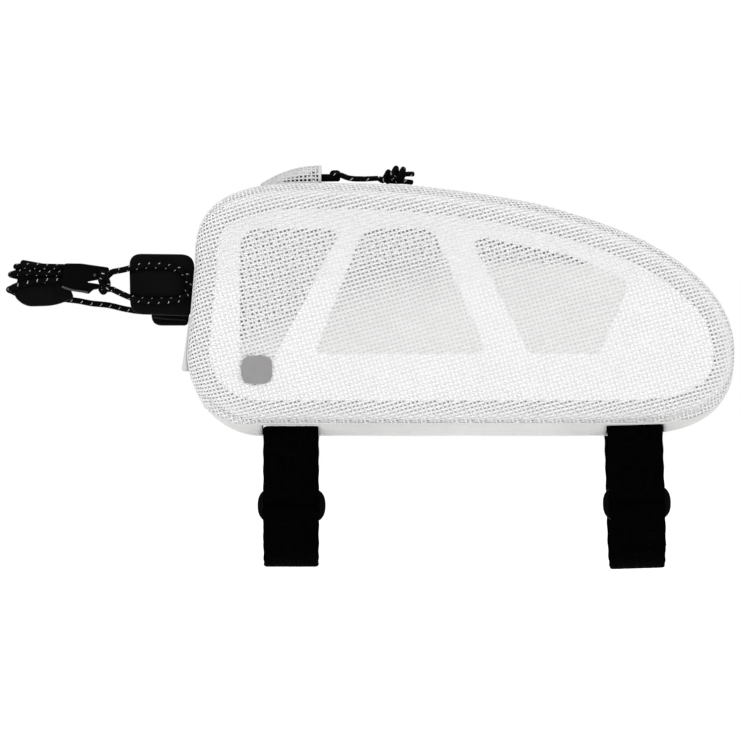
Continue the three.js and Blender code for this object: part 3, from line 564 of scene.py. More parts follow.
def plate(outline, half, edge, spacing, holes=(), relief=None):
    """A plate with round edges as (across, up, out) points; relief adds height to its outer face."""
    loops = [even_loop(loop, spacing) for loop in (outline, *holes)]
    seeds = plate_seeds(loops, edge, spacing)
    edges = []
    start = 0
    for loop in loops:
        edges += [(start + i, start + (i + 1) % len(loop)) for i in range(len(loop))]
        start += len(loop)
    made = delaunay_2d_cdt([Vector(p) for p in seeds], edges, [], 0, 1e-6)
    flat = np.array([tuple(p) for p in made[0]])
    triangles = np.array([face for face in made[2] if len(face) == 3])
    middles = flat[triangles].mean(axis=1)
    keep = inside_loop(middles, loops[0])
    for hole in loops[1:]:
        keep &= ~inside_loop(middles, hole)
    triangles = triangles[keep]
    left = loop_distance(flat, loops)
    height = half * np.sqrt(1 - (1 - np.clip(left / edge, 0, 1)) ** 2)
    rim = left < 1e-4
    front = np.column_stack([flat, height])
    back = np.column_stack([flat, -height])
    if relief is not None:
        front[:, 2] += np.where(rim, 0, relief(flat))
    under = np.where(rim, np.arange(len(flat)), len(flat) + np.arange(len(flat)))
    return only_used(np.concatenate([front, back]), [triangles, under[triangles][:, ::-1]])


def at_y(flat, y):
    """Flat points x, z stood up at places y across the bag."""
    return np.column_stack([flat[:, 0], y, flat[:, 1]])


def upright(shape, y):
    """A plate stood up at y, with its outer face towards -Y."""
    points, blocks = shape
    return at_y(points, y - points[:, 2]), blocks


def thick_sheet(outer, inner, keep=None):
    """A closed sheet between two grids, [along, across]; keep says which of its cells are cloth."""
    rows, columns, _ = outer.shape
    keep = np.ones((rows - 1, columns - 1), bool) if keep is None else keep
    under = rows * columns
    cells = grid_faces(rows, columns).reshape(rows - 1, columns - 1, 4)
    framed = np.pad(keep, 1)
    quads = cells[keep]
    walls = []
    for corner, (step_i, step_j) in enumerate(((-1, 0), (0, 1), (1, 0), (0, -1))):
        beside = framed[1 + step_i : rows + step_i, 1 + step_j : columns + step_j]
        bare = cells[keep & ~beside]
        a, b = bare[:, corner], bare[:, (corner + 1) % 4]
        walls.append(np.stack([b, a, under + a, under + b], axis=1))
    blocks = [quads, under + quads[:, ::-1], *walls]
    return only_used(np.concatenate([outer.reshape(-1, 3), inner.reshape(-1, 3)]), blocks)


# Materials


def set_inputs(node, **values):
    """Sets a node's inputs, whose names are given with _ for spaces."""
    for name, value in values.items():
        node.inputs[name.replace("_", " ")].default_value = value


class Finish:
    """A material whose colour and roughness drift with a noise, with bump layers on top."""

    def __init__(self, name, dark, light, drift, roughness, specular):
        self.material = bpy.data.materials.new(name)
        self.material.use_nodes = True
        self.tree = self.material.node_tree
        self.shader = self.tree.nodes["Principled BSDF"]
        set_inputs(self.shader, Specular_IOR_Level=specular)
        self.place = self.node("ShaderNodeTexCoord").outputs["Object"]
        noise = self.noise(drift, 4)
        ramp = self.node("ShaderNodeValToRGB")
        for element, position, colour in zip(ramp.color_ramp.elements, (0.3, 0.7), (dark, light)):
            element.position = position
            element.color = (*colour, 1)
        self.link(noise, ramp.inputs["Fac"])
        self.link(ramp.outputs["Color"], self.shader.inputs["Base Color"])
        span = self.node("ShaderNodeMapRange")
        set_inputs(span, To_Min=roughness[0], To_Max=roughness[1])
        self.link(noise, span.inputs["Value"])
        self.link(span.outputs["Result"], self.shader.inputs["Roughness"])
        self.normal = None

    def node(self, kind):
        return self.tree.nodes.new(kind)

    def link(self, start, end):
        self.tree.links.new(start, end)

    def noise(self, size, detail):
        noise = self.node("ShaderNodeTexNoise")
        set_inputs(noise, Scale=1 / (size * MM), Detail=detail)
        self.link(self.place, noise.inputs["Vector"])
        return noise.outputs["Fac"]

    def wave(self, axis, period):
        wave = self.node("ShaderNodeTexWave")
        wave.bands_direction = axis
        set_inputs(wave, Scale=2 * math.pi / (20 * period * MM), Distortion=0.6)
        self.link(self.place, wave.inputs["Vector"])
        return wave.outputs["Fac"]

    def bump(self, height, depth):
        bump = self.node("ShaderNodeBump")
        set_inputs(bump, Strength=1.0, Distance=depth * MM)
        self.link(height, bump.inputs["Height"])
        if self.normal is not None:
            self.link(self.normal, bump.inputs["Normal"])
        self.normal = bump.outputs["Normal"]
        self.link(self.normal, self.shader.inputs["Normal"])

    def grain(self, size, depth):
        self.bump(self.noise(size, 3), depth)

    def weave(self, period, depth):
        for axis in "XYZ":
            self.bump(self.wave(axis, period), depth)

    def through(self, reach):
        set_inputs(self.shader, Subsurface_Weight=1.0, Subsurface_Radius=grey(1.0))
        set_inputs(self.shader, Subsurface_Scale=reach * MM)


def grey(level):
    return (level, level, level)


# Looks: material, dark and light colour, size of their drift, roughness from and to, specular level, and the
# size and depth of the grain
CLOTH_DARK = (0.59, 0.588, 0.58)
CLOTH_LIGHT = (0.655, 0.652, 0.645)
FINISHES = {
    "yarn": ("coated_yarn", (0.845, 0.84, 0.843), (0.905, 0.90, 0.903), 18, (0.45, 0.6), 0.25, (0.5, 0.05)),
    "foam": ("foam", (0.92, 0.915, 0.918), (0.95, 0.945, 0.948), 9, (0.85, 0.95), 0.1, (0.9, 0.25)),
    "cloth": ("gusset_cloth", CLOTH_DARK, CLOTH_LIGHT, 30, (0.42, 0.55), 0.3, (14, 0.5)),
    "pocket": ("pocket_cloth", (0.69, 0.69, 0.67), (0.75, 0.75, 0.73), 25, (0.5, 0.65), 0.25, None),
    "lining": ("edge_lining", grey(0.80), grey(0.85), 12, (0.7, 0.85), 0.1, (0.7, 0.08)),
    "flap": ("flap_cloth", grey(0.60), grey(0.66), 10, (0.5, 0.65), 0.25, (0.9, 0.05)),
    # The garage's hood: greyer than the panel's yarn, as painted shade
    "hood": ("hood_cloth", grey(0.565), grey(0.625), 8, (0.5, 0.65), 0.2, (0.6, 0.05)),
    "thread": ("white_thread", CLOTH_DARK, CLOTH_LIGHT, 2, (0.5, 0.65), 0.25, (0.3, 0.06)),
    "nylon": ("zip_nylon", (0.70, 0.70, 0.69), (0.78, 0.78, 0.77), 6, (0.28, 0.4), 0.5, (0.8, 0.03)),
    "label": ("label_grey", (0.252, 0.246, 0.249), (0.274, 0.268, 0.271), 5, (0.55, 0.65), 0.15, (0.6, 0.05)),
    "webbing": ("loop_webbing", grey(0.0003), grey(0.001), 2.5, (0.9, 1.0), 0.008, (0.7, 0.3)),
    "plastic": ("moulded_plastic", grey(0.001), grey(0.0016), 12, (0.3, 0.42), 0.02, (0.7, 0.02)),
    # Black plastic with a lighter grey base colour: a painted highlight, on top of its real gloss
    "gloss": ("polished_plastic", grey(0.014), grey(0.038), 9, (0.16, 0.24), 0.38, (3, 0.02)),
    "rubber": ("rubber", grey(0.0014), grey(0.0026), 10, (0.45, 0.6), 0.034, (0.5, 0.03)),
    # Rubber with a lighter grey base colour: a painted highlight
    "sheen": ("rubber_sheen", grey(0.008), grey(0.014), 6, (0.3, 0.45), 0.1, (0.5, 0.03)),
    "cord": ("black_cord", grey(0.0012), grey(0.003), 3, (0.7, 0.85), 0.03, (0.25, 0.08)),
    "fleck": ("reflective_fleck", grey(0.3), grey(0.6), 1.2, (0.3, 0.45), 0.4, (0.25, 0.05)),
}
# Looks with a weave, by its period and depth, and looks that light goes into, by how deep
WEAVES = {"cloth": (0.7, 0.05), "pocket": (0.9, 0.08), "webbing": (1.1, 0.06)}
SHINE_THROUGH = {"yarn": 0.7}


def make_look(look):
    *basics, grain = FINISHES[look]
    finish = Finish(*basics)
    if grain:
        finish.grain(*grain)
    if look in WEAVES:
        finish.weave(*WEAVES[look])
    if look in SHINE_THROUGH:
        finish.through(SHINE_THROUGH[look])
    return finish.material


looks = {look: make_look(look) for look in FINISHES}


# Side seam


def corner_points(corner, starts_at_z):
    share = np.linspace(0, 1, CORNER_SAMPLES)
    angle = (1 - share if starts_at_z else share) * math.pi / 2
    across = np.clip(np.cos(angle), 0, 1) ** (2 / corner["power"])
    up = np.clip(np.sin(angle), 0, 1) ** (2 / corner["power"])
    x = corner["x"] + (corner["end_x"] - corner["x"]) * across
    z = corner["z"] + (corner["end_z"] - corner["z"]) * up
    return np.column_stack([x, z])


class Seam:
    """The closed side seam as even points with outward normals, read by arc length."""

    def __init__(self):
        turns = [corner_points(corner, i % 2 == 0) for i, corner in enumerate(CORNERS)]
        path = np.concatenate([*turns, turns[0][:1]])
        arc = arc_lengths(path)
        self.ends = [arc[(i + 1) * CORNER_SAMPLES - 1] for i in range(len(CORNERS))]
        self.length = arc[-1]
        self.points = resampled(path, SEAM_STEP)[:-1]
        along = loop_directions(self.points)
        self.normals = np.column_stack([along[:, 1], -along[:, 0]])

    def at(self, lengths):
        """Points and outward normals at arc lengths, which may run past either end."""
        place = np.mod(lengths, self.length) / self.length * len(self.points)
        low = np.floor(place).astype(int) % len(self.points)
        high = (low + 1) % len(self.points)
        share = (place - np.floor(place))[:, None]
        points = self.points[low] * (1 - share) + self.points[high] * share
        normals = self.normals[low] * (1 - share) + self.normals[high] * share
        return points, unit(normals)


seam = Seam()


# Side panels


def panel_rise(inset):
    edge = np.clip(inset / EDGE_INSET, 0, 1)
    dome = np.clip(inset / DOME_REACH, 0, 1)
    return EDGE_RISE * np.sqrt(1 - (1 - edge) ** 2) + DOME_RISE * (1 - (1 - dome) ** 2)


edge_insets = EDGE_INSET * (1 - np.cos(np.linspace(0, math.pi / 2, 200)))
edge_arc = arc_lengths(np.column_stack([edge_insets, panel_rise(edge_insets)]))
EDGE_SPARE = edge_arc[-1] - EDGE_INSET


def seam_inset(flat):
    """How far flat points lie inside the seam, with the seam's normal next to each."""
    reach = flat[:, None] - seam.points[None]
    nearest = np.argmin(np.sum(reach**2, axis=2), axis=1)
    normals = seam.normals[nearest]
    return -np.sum((flat - seam.points[nearest]) * normals, axis=1), normals


def crown(normals):
    most = np.where(normals[:, 1] < 0, BASE_CROWN, TOP_CROWN)
    return SIDE_CROWN + (most - SIDE_CROWN) * normals[:, 1] ** 2


def across_shape(y):
    past = np.maximum(np.abs(y) / HALF_SEAM - FLAT_SHARE, 0) / (1 - FLAT_SHARE)
    return 1 - past**2


def wrap_width(normals):
    """How far the mesh wraps past the seam, from the seam's normals."""
    return np.interp(normals[:, 1], WRAP["up"], WRAP["width"])


def shoulder(past, normals):
    """Heights of the gusset's shoulder past the seam, its places across the bag and its slope there."""
    y = -HALF_SEAM + past
    most = crown(normals)
    slope = most * (across_shape(y + 0.1) - across_shape(y - 0.1)) / 0.2
    return most * across_shape(y) + WRAP["lift"], y, slope


def drape(flat, drop):
    """Flat cloth points laid over the near panel, its round edge and the seam, with the normals there."""
    inside, normals = seam_inset(flat)
    from_seam = inside + EDGE_SPARE
    turned = np.interp(from_seam, edge_arc, edge_insets)
    inset = np.where(inside < EDGE_INSET, turned, inside)
    reach = 0.05
    low = np.maximum(inset - reach, 0)
    slope = (panel_rise(inset + reach) - panel_rise(low)) / (inset + reach - low)
    height, wrapped_y, rise = shoulder(np.maximum(-from_seam, 0), normals)
    wrapped = from_seam < 0
    away = np.where(wrapped, height, -inset)
    place = flat + normals * (inside + away)[:, None]
    y = np.where(wrapped, wrapped_y, -(HALF_SEAM + panel_rise(inset)))
    lean = np.where(wrapped, 1.0, slope)
    out = unit(at_y(normals * lean[:, None], np.where(wrapped, -rise, -1.0)))
    return at_y(place, y) - out * np.where(wrapped[:, None], 0, drop), out


def wander(along, across, row):
    bent = along / row["wave"] + row["bend"] * np.sin(across / row["bend_wave"])
    return np.sin(bent) + DRIFT_CROSS * np.sin(across / row["cross"] + along / row["skew"])


def drift(flat):
    """Flat points moved by the yarns' slow wander, so that the weave isn't a perfect grid."""
    x, z = flat.T
    sway = wander(x, z, DRIFT_WAVES[0])
    lean = wander(z, x, DRIFT_WAVES[1])
    return flat + MESH_DRIFT * np.column_stack([sway, lean])


def yarn_run(middle, along, steps):
    """The stretch of a flat yarn inside the cloth's edge, as places along it with ends on the edge."""
    inset, normals = seam_inset(drift(middle + steps[:, None] * along))
    left = inset + EDGE_SPARE + wrap_width(normals)
    kept = np.flatnonzero(left > 0)
    if len(kept) < 4:
        return None
    first, last = kept[0], kept[-1]
    start = steps[first] - left[first] / (left[first] - left[first - 1])
    end = steps[last] + left[last] / (left[last] - left[last + 1])
    return np.concatenate([[start], steps[kept], [end]])


def panel_weave(tilt):
    """The near panel's plain weave: each yarn passes over and under the yarns that cross it."""
    turn = math.radians(tilt)
    own = YARN["pitch"] * np.array([math.cos(turn), math.sin(turn)])
    other = YARN["pitch"] * np.array([-math.sin(turn), math.cos(turn)])
    centre = (seam.points.min(axis=0) + seam.points.max(axis=0)) / 2
    count = round(MESH_REACH / YARN["pitch"])
    steps = np.arange(-count, count + 1)
    yarns = []
    for along, across, sign, half in ((own, other, 1, YARN["row"]), (other, own, -1, YARN["column"])):
        for index in steps:
            middle = centre + index * across
            run = yarn_run(middle, along, steps)
            if run is None:
                continue
            points, normals = drape(drift(middle + run[:, None] * along), MESH_DROP)
            over = sign * np.where(np.round(run + index) % 2 == 0, 1, -1)
            over[[0, -1]] = 0
            points = points + normals * (YARN["lift"] * over)[:, None]
            yarns.append(flat_tube(points, normals, half, YARN["wall"]))
    return joined(yarns)


def foam_frame():
    outline = seam.points - seam.normals * FOAM["inset"]
    windows = [rounded_outline(corners) for corners in WINDOWS]
    half = (FOAM["back"] - FOAM["front"]) / 2
    points, blocks = plate(outline, half, **PLATES["foam"], holes=windows)
    inset = seam_inset(points[:, :2])[0]
    middle = -(HALF_SEAM + panel_rise(inset) - (FOAM["front"] + FOAM["back"]) / 2)
    sink = np.interp(points[:, 1], (FOAM_SINK["from"], FOAM_SINK["to"]), (0, FOAM_SINK["depth"]))
    y = middle - points[:, 2] + sink * np.clip(points[:, 2] / half, 0, 1)
    return at_y(points, y), blocks


def seam_binding():
    """The bound edge of the mesh, on the gusset's shoulder and along the base's seam."""
    points = seam.points[::3]
    normals = seam.normals[::3]
    height, y, rise = shoulder(wrap_width(normals), normals)
    middle = at_y(points + normals * height[:, None], y)
    out = unit(at_y(normals, -rise))
    return endless_tube(oval_rings(middle, loop_directions(middle), out, **BINDING, sides=10))


def edge_lining():
    """The sewn margin that backs the mesh on the panel's round edge."""
    inside = np.array(LINING["reach"]) - EDGE_SPARE
    bases = seam.points[::3]
    normals = seam.normals[::3]
    flat = (bases[:, None] - normals[:, None] * inside[:, None]).reshape(-1, 2)
    forward = (-normals[:, 0] - LINING_FRONT["none"]) / (LINING_FRONT["full"] - LINING_FRONT["none"])
    deeper = LINING_FRONT["depth"] * np.clip(forward, 0, 1)
    depth = (deeper[:, None] + np.array(LINING["depth"])).reshape(-1, 1)
    shape = (len(bases), len(inside), 3)
    front = drape(flat, depth)[0].reshape(shape)
    back = drape(flat, depth + LINING_WALL)[0].reshape(shape)
    return endless_tube(np.concatenate([front, back[:, ::-1]], axis=1))


def on_side(shape, side):
    return shape if side == "near" else mirrored(shape)


def add_sides():
    for side, tilt in (("near", YARN["tilt"]), ("far", -YARN["tilt"])):
        panel = on_side(panel_weave(tilt), side)
        add_piece(f"mesh_panel_{side}", panel, "yarn", f"side_panel_{side}")
        foam = add_piece(f"foam_{side}", on_side(foam_frame(), side), "foam", f"foam_frame_{side}")
        add_piece(f"seam_binding_{side}", on_side(seam_binding(), side), "cloth")
        add_piece(f"edge_lining_{side}", on_side(edge_lining(), side), "lining")


def add_label():
    middle = np.array([LABEL["x"], LABEL["z"]])
    reach = np.array([LABEL["width"], LABEL["height"]]) / 2
    outline = rounded_box(middle - reach, middle + reach, LABEL["radius"])
    points, blocks = plate(outline, LABEL["wall"] / 2, **PLATES["label"])
    face = HALF_SEAM + panel_rise(seam_inset(points[:, :2])[0])
    y = -(face + LABEL["lift"] + LABEL["wall"] / 2 + points[:, 2])
    add_piece("label", (at_y(points, y), blocks), "label", "label_patch")


def window_share(flat):
    """How much of its way into the foam's windows the pocket's cloth goes at flat points."""
    share = np.zeros(len(flat))
    for corners in WINDOWS:
        window = rounded_outline(corners)
        outside = np.where(inside_loop(flat, window), 0, loop_distance(flat, [window]))
        share = np.maximum(share, 1 - np.clip(outside / POCKET_LEAN["reach"] - 1, 0, 1))
    return share


def pocket_places(flat):
    """Places across the bag of the pocket's cloth: flat behind the foam, out to the mesh in its windows."""
    x, z = flat.T
    quilt = POCKET_SLACK["quilt"] * np.sin(x / POCKET_SLACK["x"]) * np.sin(z / POCKET_SLACK["z"])
    slack = quilt + POCKET_SLACK["fold"] * np.sin((x + z) / POCKET_SLACK["fold_wave"])
    height = z - POCKET_LEAN["rise"] * (x - POCKET_LEAN["x"])
    behind_front = np.clip((POCKET_LEAN["front"] - x) / POCKET_LEAN["blend"], 0, 1)
    gap = np.interp(height + POCKET_LEAN["drop"] * behind_front, POCKET_GAP["height"], POCKET_GAP["gap"])
    mesh = -(HALF_SEAM + panel_rise(seam_inset(flat)[0]) - MESH_DROP)
    rest = POCKET_Y + slack
    return rest + window_share(flat) * (mesh + gap + POCKET_HALF - rest)


def add_pocket():
    outline = rounded_outline(POCKET)
    points, blocks = plate(outline, POCKET_HALF, **PLATES["pocket"])
    placed = at_y(points, pocket_places(points[:, :2]) - points[:, 2])
    pocket = add_piece("pocket_sheet", (placed, blocks), "pocket", "inner_pocket")


# Gusset


def ripple(lengths, y):
    """Slack in the cloth and the pucker that the side seams pull into it."""
    from_seam = HALF_SEAM - np.abs(y)
    bent = lengths / SLACK["along"] + SLACK["bend"] * np.sin(y / SLACK["bend_wave"])
    slack = SLACK["height"] * np.sin(bent) * np.cos(y / SLACK["across"])
    pucker = PUCKER["height"] * np.sin(lengths / PUCKER["along"] + y) * np.exp(-from_seam / PUCKER["fade"])
    slack_held, pucker_held = (np.clip(from_seam / row["held"], 0, 1) for row in (SLACK, PUCKER))
    return slack * slack_held + pucker * pucker_held


def gusset_points(lengths, y, lift=0.0, rippled=1.0):
    """Points of the gusset on a grid of arc lengths and places across it, [along, across, axis]."""
    points, normals = seam.at(lengths)
    out = crown(normals)[:, None] * across_shape(y)[None] + lift
    out = out + rippled * ripple(lengths[:, None], y[None])
    flat = points[:, None] + normals[:, None] * out[:, :, None]
    return point_grid(flat[:, :, 0], y, flat[:, :, 1])


def gusset_normals(lengths, y):
    flat = seam.at(lengths)[1]
    normals = at_y(flat, np.zeros(len(flat)))
    return np.broadcast_to(normals[:, None], (len(lengths), len(y), 3))


def stations(start, end, step=GUSSET_STEP):
    return np.linspace(start, end, round((end - start) / step) + 1)


def gusset_strip(start, end, y, keep=None):
    lengths = stations(start, end)
    outer = gusset_points(lengths, y)
    inner = gusset_points(lengths, y, lift=-GUSSET_WALL)
    return thick_sheet(outer, inner, None if keep is None else keep(outer))


def clear_of_slots(grid):
    """Which cells of the base are cloth: all but the slots that the straps pass through."""
    middle = (grid[:-1, :-1] + grid[1:, 1:]) / 2
    keep = np.ones(middle.shape[:2], bool)
    across = np.abs(middle[:, :, 1])
    in_slot = (across > SLOT["inner"]) & (across < SLOT["outer"])
    for strap in STRAPS:
        keep &= ~(in_slot & (np.abs(middle[:, :, 0] - strap["x"]) < SLOT["half"]))
    return keep


tail_base_end, tail_top_end, front_top_end, front_base_end = seam.ends
base_start = front_top_end + (front_base_end - front_top_end) * BASE_FRONT_SHARE - seam.length
base_end = tail_base_end * BASE_TAIL_SHARE
zip_start = tail_base_end + (tail_top_end - tail_base_end) * ZIP_TAIL_SHARE
full_rows = np.linspace(-HALF_SEAM, HALF_SEAM, 45)
strip_rows = np.linspace(-HALF_SEAM, -ZIP_HALF, 19)


def seam_stitches(start, end, y):
    """A row of stitches along the gusset on either side of its middle."""
    lengths = stations(start, end, STITCH_STEP)
    rows = np.array([-y, y])
    points = gusset_points(lengths, rows)
    normals = gusset_normals(lengths, rows)
    return [stitches(points[:, k], normals[:, k]) for k in (0, 1)]


def cross_seam(length):
    """The fold and the stitches where two strips of the gusset meet."""
    lengths = np.array([length - FOLD["stitch"], length, length + FOLD["stitch"]])
    y = np.linspace(-HALF_SEAM + FOLD["inset"], HALF_SEAM - FOLD["inset"], 40)
    grid = gusset_points(lengths, y)
    normals = gusset_normals(lengths, y)
    ridge = flat_tube(grid[1], normals[1], FOLD["half"], FOLD["wall"], 8)
    return ridge, joined([stitches(grid[k], normals[k]) for k in (0, 2)])


def add_gusset():
    front_end = base_start + seam.length
    strips = [
        {"name": "base_cloth", "from": base_start, "to": base_end, "keep": clear_of_slots, "node": "base"},
        {"name": "tail_cloth", "from": base_end, "to": zip_start, "keep": None, "node": "tail_gusset"},
        {"name": "front_cloth", "from": tail_top_end, "to": front_end, "keep": None, "node": "front_gusset"},
    ]
    for strip in strips:
        cloth = gusset_strip(strip["from"], strip["to"], full_rows, strip["keep"])
        add_piece(strip["name"], cloth, "cloth", strip["node"])
    ridges = [cross_seam(length) for length in (base_start, base_end, zip_start, tail_top_end)]
    add_piece("gusset_folds", joined([fold for fold, _ in ridges]), "cloth")
    rows = seam_stitches(base_end, front_end, HALF_SEAM - STITCH_INSET)
    rows += [threads for _, threads in ridges]
    add_piece("gusset_stitches", joined(rows), "thread")


def add_zip():
    strip = gusset_strip(zip_start, tail_top_end, strip_rows)
    for side in ("near", "far"):
        add_piece(f"zip_band_{side}", on_side(strip, side), "cloth", f"zip_strip_{side}")
    lengths = stations(zip_start, tail_top_end)
    reach = ZIP_HALF + TAPE["spare"]
    tape_rows = np.linspace(-reach, reach, 9)
    faces = [gusset_points(lengths, tape_rows, lift=-GUSSET_WALL - TAPE[face]) for face in ("top", "bottom")]
    add_piece("zip_tape", thick_sheet(*faces), "pocket", "zip_chain")
    add_piece("zip_teeth", zip_teeth(), "nylon")
    rows = seam_stitches(zip_start, tail_top_end, ZIP_HALF + TAPE["stitch"])
    add_piece("zip_stitches", joined(rows), "thread")


def zip_teeth():
    """The zip's coil as a bar for each turn, alternating from side to side and meshing in the middle."""
    teeth = []
    starts = np.arange(zip_start + TEETH["margin"], tail_top_end - TEETH["margin"], TEETH["pitch"])
    for k, length in enumerate(starts):
        side = 1 if k % 2 else -1
        y = side * np.linspace(TEETH["from"], TEETH["to"], 7)
        line = gusset_points(np.array([length]), y, lift=TEETH["lift"], rippled=0)[0]
        teeth.append(tube(line, round_tips(line, TEETH["radius"], TEETH["tip"])[:, None], 8))
    return joined(teeth)


# Zip slider, pull and garage


def braided(path, radius, turn, tip=0.0):
    """A braided cord along a path, with a mask of the faces that show a reflective strand."""
    sides = BRAID["sides"]
    arc = arc_lengths(path)

    def strands(lengths, angles):
        round_share = BRAID["strands"] * angles / (2 * math.pi)
        run = BRAID["strands"] * lengths / turn
        one, two = round_share + run, round_share - run
        over = (np.floor(one) + np.floor(two)) % 4 < 2
        share = np.where(over, one, two) % 1
        middle = np.abs((np.floor(one) + two) % 4 - 1) < FLECK["length"]
        narrow = np.abs(share - 0.5) < FLECK["width"]
        traced = over & (np.floor(one) % BRAID["strands"] == 0) & middle & narrow
        return np.sin(math.pi * share), traced

    angles = round_angles(sides)
    height, _ = strands(arc[:, None], angles[None])
    spread = radius - BRAID["depth"] * (1 - height)
    if tip:
        spread = spread * round_tips(path, 1.0, tip)[:, None]
    step = math.pi / sides
    _, traced = strands((arc[:-1, None] + arc[1:, None]) / 2, angles[None] + step)
    marks = np.concatenate([traced.ravel(), [False, False]])
    return tube(path, spread, sides), marks


def add_cord(name, paths, radius, turn, replaced, tip=0.0):
    """A piece made of one or more braided cords, with flecks of the reflective strand."""
    shapes, flecks = zip(*(braided(path, radius, turn, tip) for path in paths))
    return add_piece(name, joined(shapes), "cord", replaced, np.concatenate(flecks))


def pull_knot_paths():
    """Two cord ends: one runs through the knot's heart and the other is wound round it."""
    first, last = PULL_ROUTE[0], PULL_ROUTE[-1]
    share = np.linspace(0, 1, 34)
    angle = -math.pi / 2 + 2 * math.pi * PULL_WRAP["turns"] * share
    stops = np.linspace(0, 1, len(PULL_WRAP["x"]))
    x, middle, radius = (np.interp(share, stops, PULL_WRAP[key]) for key in ("x", "z", "radius"))
    slanted = x + PULL_WRAP["slant"] * np.sin(angle)
    wound = zip(slanted, PULL_WRAP["y"] - radius * np.cos(angle), middle + radius * np.sin(angle))
    routes = [[last, *PULL_HEART, PULL_ENDS[1]], [first, *wound, PULL_ENDS[0]]]
    return [smooth_path(route, BRAID["step"]) for route in routes]


def add_pull():
    knot = add_cord("pull_knot_tied", pull_knot_paths(), PULL_RADIUS, PULL_TURN, "pull_knot", PULL_TIP)
    path = smooth_path(PULL_ROUTE, BRAID["step"])
    pull = add_cord("pull_cord_loop", [path], PULL_RADIUS, PULL_TURN, "pull_cord")


def add_slider():
    angle = round_angles(48)
    body = np.column_stack([
        SLIDER["x"] + SLIDER["length"] / 2 * np.cos(angle),
        SLIDER["width"] / 2 * np.sin(angle) * (1 - SLIDER["taper"] * np.cos(angle)),
    ])
    points, blocks = plate(body, SLIDER["plate"] / 2, **PLATES["slider"])
    points = points + [0, 0, SLIDER["floor"] + SLIDER["plate"] / 2]
    turn = np.linspace(0, math.pi, 24)
    arch = np.column_stack([
        BAIL["x"] + BAIL["length"] / 2 * np.sign(np.cos(turn)) * np.abs(np.cos(turn)) ** BAIL["power"],
        BAIL["low"] + (BAIL["high"] - BAIL["low"]) * np.sin(turn) ** BAIL["power"],
    ])
    eye = circle(EYE["at"], EYE["radius"], 48)
    bail = upright(plate(arch, BAIL["width"] / 2, **PLATES["bail"], holes=[eye]), 0)
    add_piece("slider", joined([(points, blocks), bail]), "plastic", "zip_slider")


def add_garage_shade_tab():
    """A dark tab inside the garage, as painted shade: it darkens the garage's interior seen through the mesh.
    """
    half = GARAGE_SHADE["half"]
    outline = rounded_box((GARAGE_SHADE["from"], -half), (GARAGE_SHADE["to"], half), GARAGE_SHADE["radius"])
    points, blocks = plate(outline, (GARAGE_SHADE["high"] - GARAGE_SHADE["low"]) / 2, **PLATES["garage_shade_tab"])
    placed = points + [0, 0, (GARAGE_SHADE["high"] + GARAGE_SHADE["low"]) / 2]
    add_piece("garage_shade_tab", (placed, blocks), "rubber")


def garage_points(x, share):
    """Points of the garage's hood at places along it and shares of its arch, [along, across, axis]."""
    run = np.clip((ZIP_FRONT - x) / (ZIP_FRONT - FRONT_TOP["end_x"]), 0, 1)
    power = FRONT_TOP["power"]
    top = FRONT_TOP["z"] + (SEAM_TOP - FRONT_TOP["z"]) * (1 - run**power) ** (1 / power)
    grown = (x - GARAGE["front"]) / (GARAGE["mouth"] - GARAGE["front"])
    rise = GARAGE["heel"] + (GARAGE["height"] - GARAGE["heel"]) * (1 - (1 - grown) ** 2)
    angle = share * math.pi
    y = -(GARAGE["half"] - GARAGE["inset"]) * np.cos(angle)
    z = (top + GARAGE["foot"])[:, None] + (rise - GARAGE["inset"])[:, None] * np.sin(angle)[None]
    return point_grid(x[:, None], y, z)


def hood_normals(grid):
    return unit(np.cross(np.gradient(grid, axis=0), np.gradient(grid, axis=1)))


def garage_lining():
    """Cloth inside the hood, open near its foot where the zip shows through the mesh; its grey is painted
    shade.
    """
    x = np.linspace(GARAGE["front"], GARAGE["mouth"], 40)
    share = np.linspace(0, 1, 41)
    grid = garage_points(x, share)
    normals = hood_normals(grid)
    bare = np.interp(x, GARAGE_OPEN["x"], GARAGE_OPEN["share"])[:-1, None]
    from_foot = np.minimum(share, 1 - share)[None, :-1]
    faces = [grid - GARAGE_LINING[face] * normals for face in ("top", "bottom")]
    return thick_sheet(*faces, from_foot >= bare)


def add_garage():
    length = GARAGE["mouth"] - GARAGE["front"]
    x = np.linspace(GARAGE["front"], GARAGE["mouth"], round(length / GARAGE_CELLS["pitch"]) + 1)
    share = np.linspace(0, 1, GARAGE_CELLS["arch"] + 1)
    grid = garage_points(x, share)
    normals = hood_normals(grid)
    over = np.where(np.add.outer(np.arange(len(x)), np.arange(len(share))) % 2 == 0, 1, -1)
    lift = normals * (YARN["lift"] * over)[:, :, None]
    half, wall = GARAGE_CELLS["half"], YARN["wall"]
    yarns = [flat_tube(grid[i] + lift[i], normals[i], half, wall) for i in range(len(x))]
    yarns += [flat_tube(grid[:, j] - lift[:, j], normals[:, j], half, wall) for j in range(len(share))]
    # The hood's mesh, lining and hem are grey, darker than the panel's white yarn: painted shade
    add_piece("garage_mesh", joined(yarns), "hood", "zip_garage")
    add_piece("garage_lining", garage_lining(), "hood")
    hem = joined([flat_tube(grid[i], normals[i], **GARAGE_HEM, sides=8) for i in (0, -1)])
    add_piece("garage_hem", hem, "hood")


# Straps and rings


def arc_points(centre, radii, start, end, count):
    angle = np.radians(np.linspace(start, end, count + 1))
    return np.column_stack([centre[0] + radii[0] * np.cos(angle), centre[1] + radii[1] * np.sin(angle)])


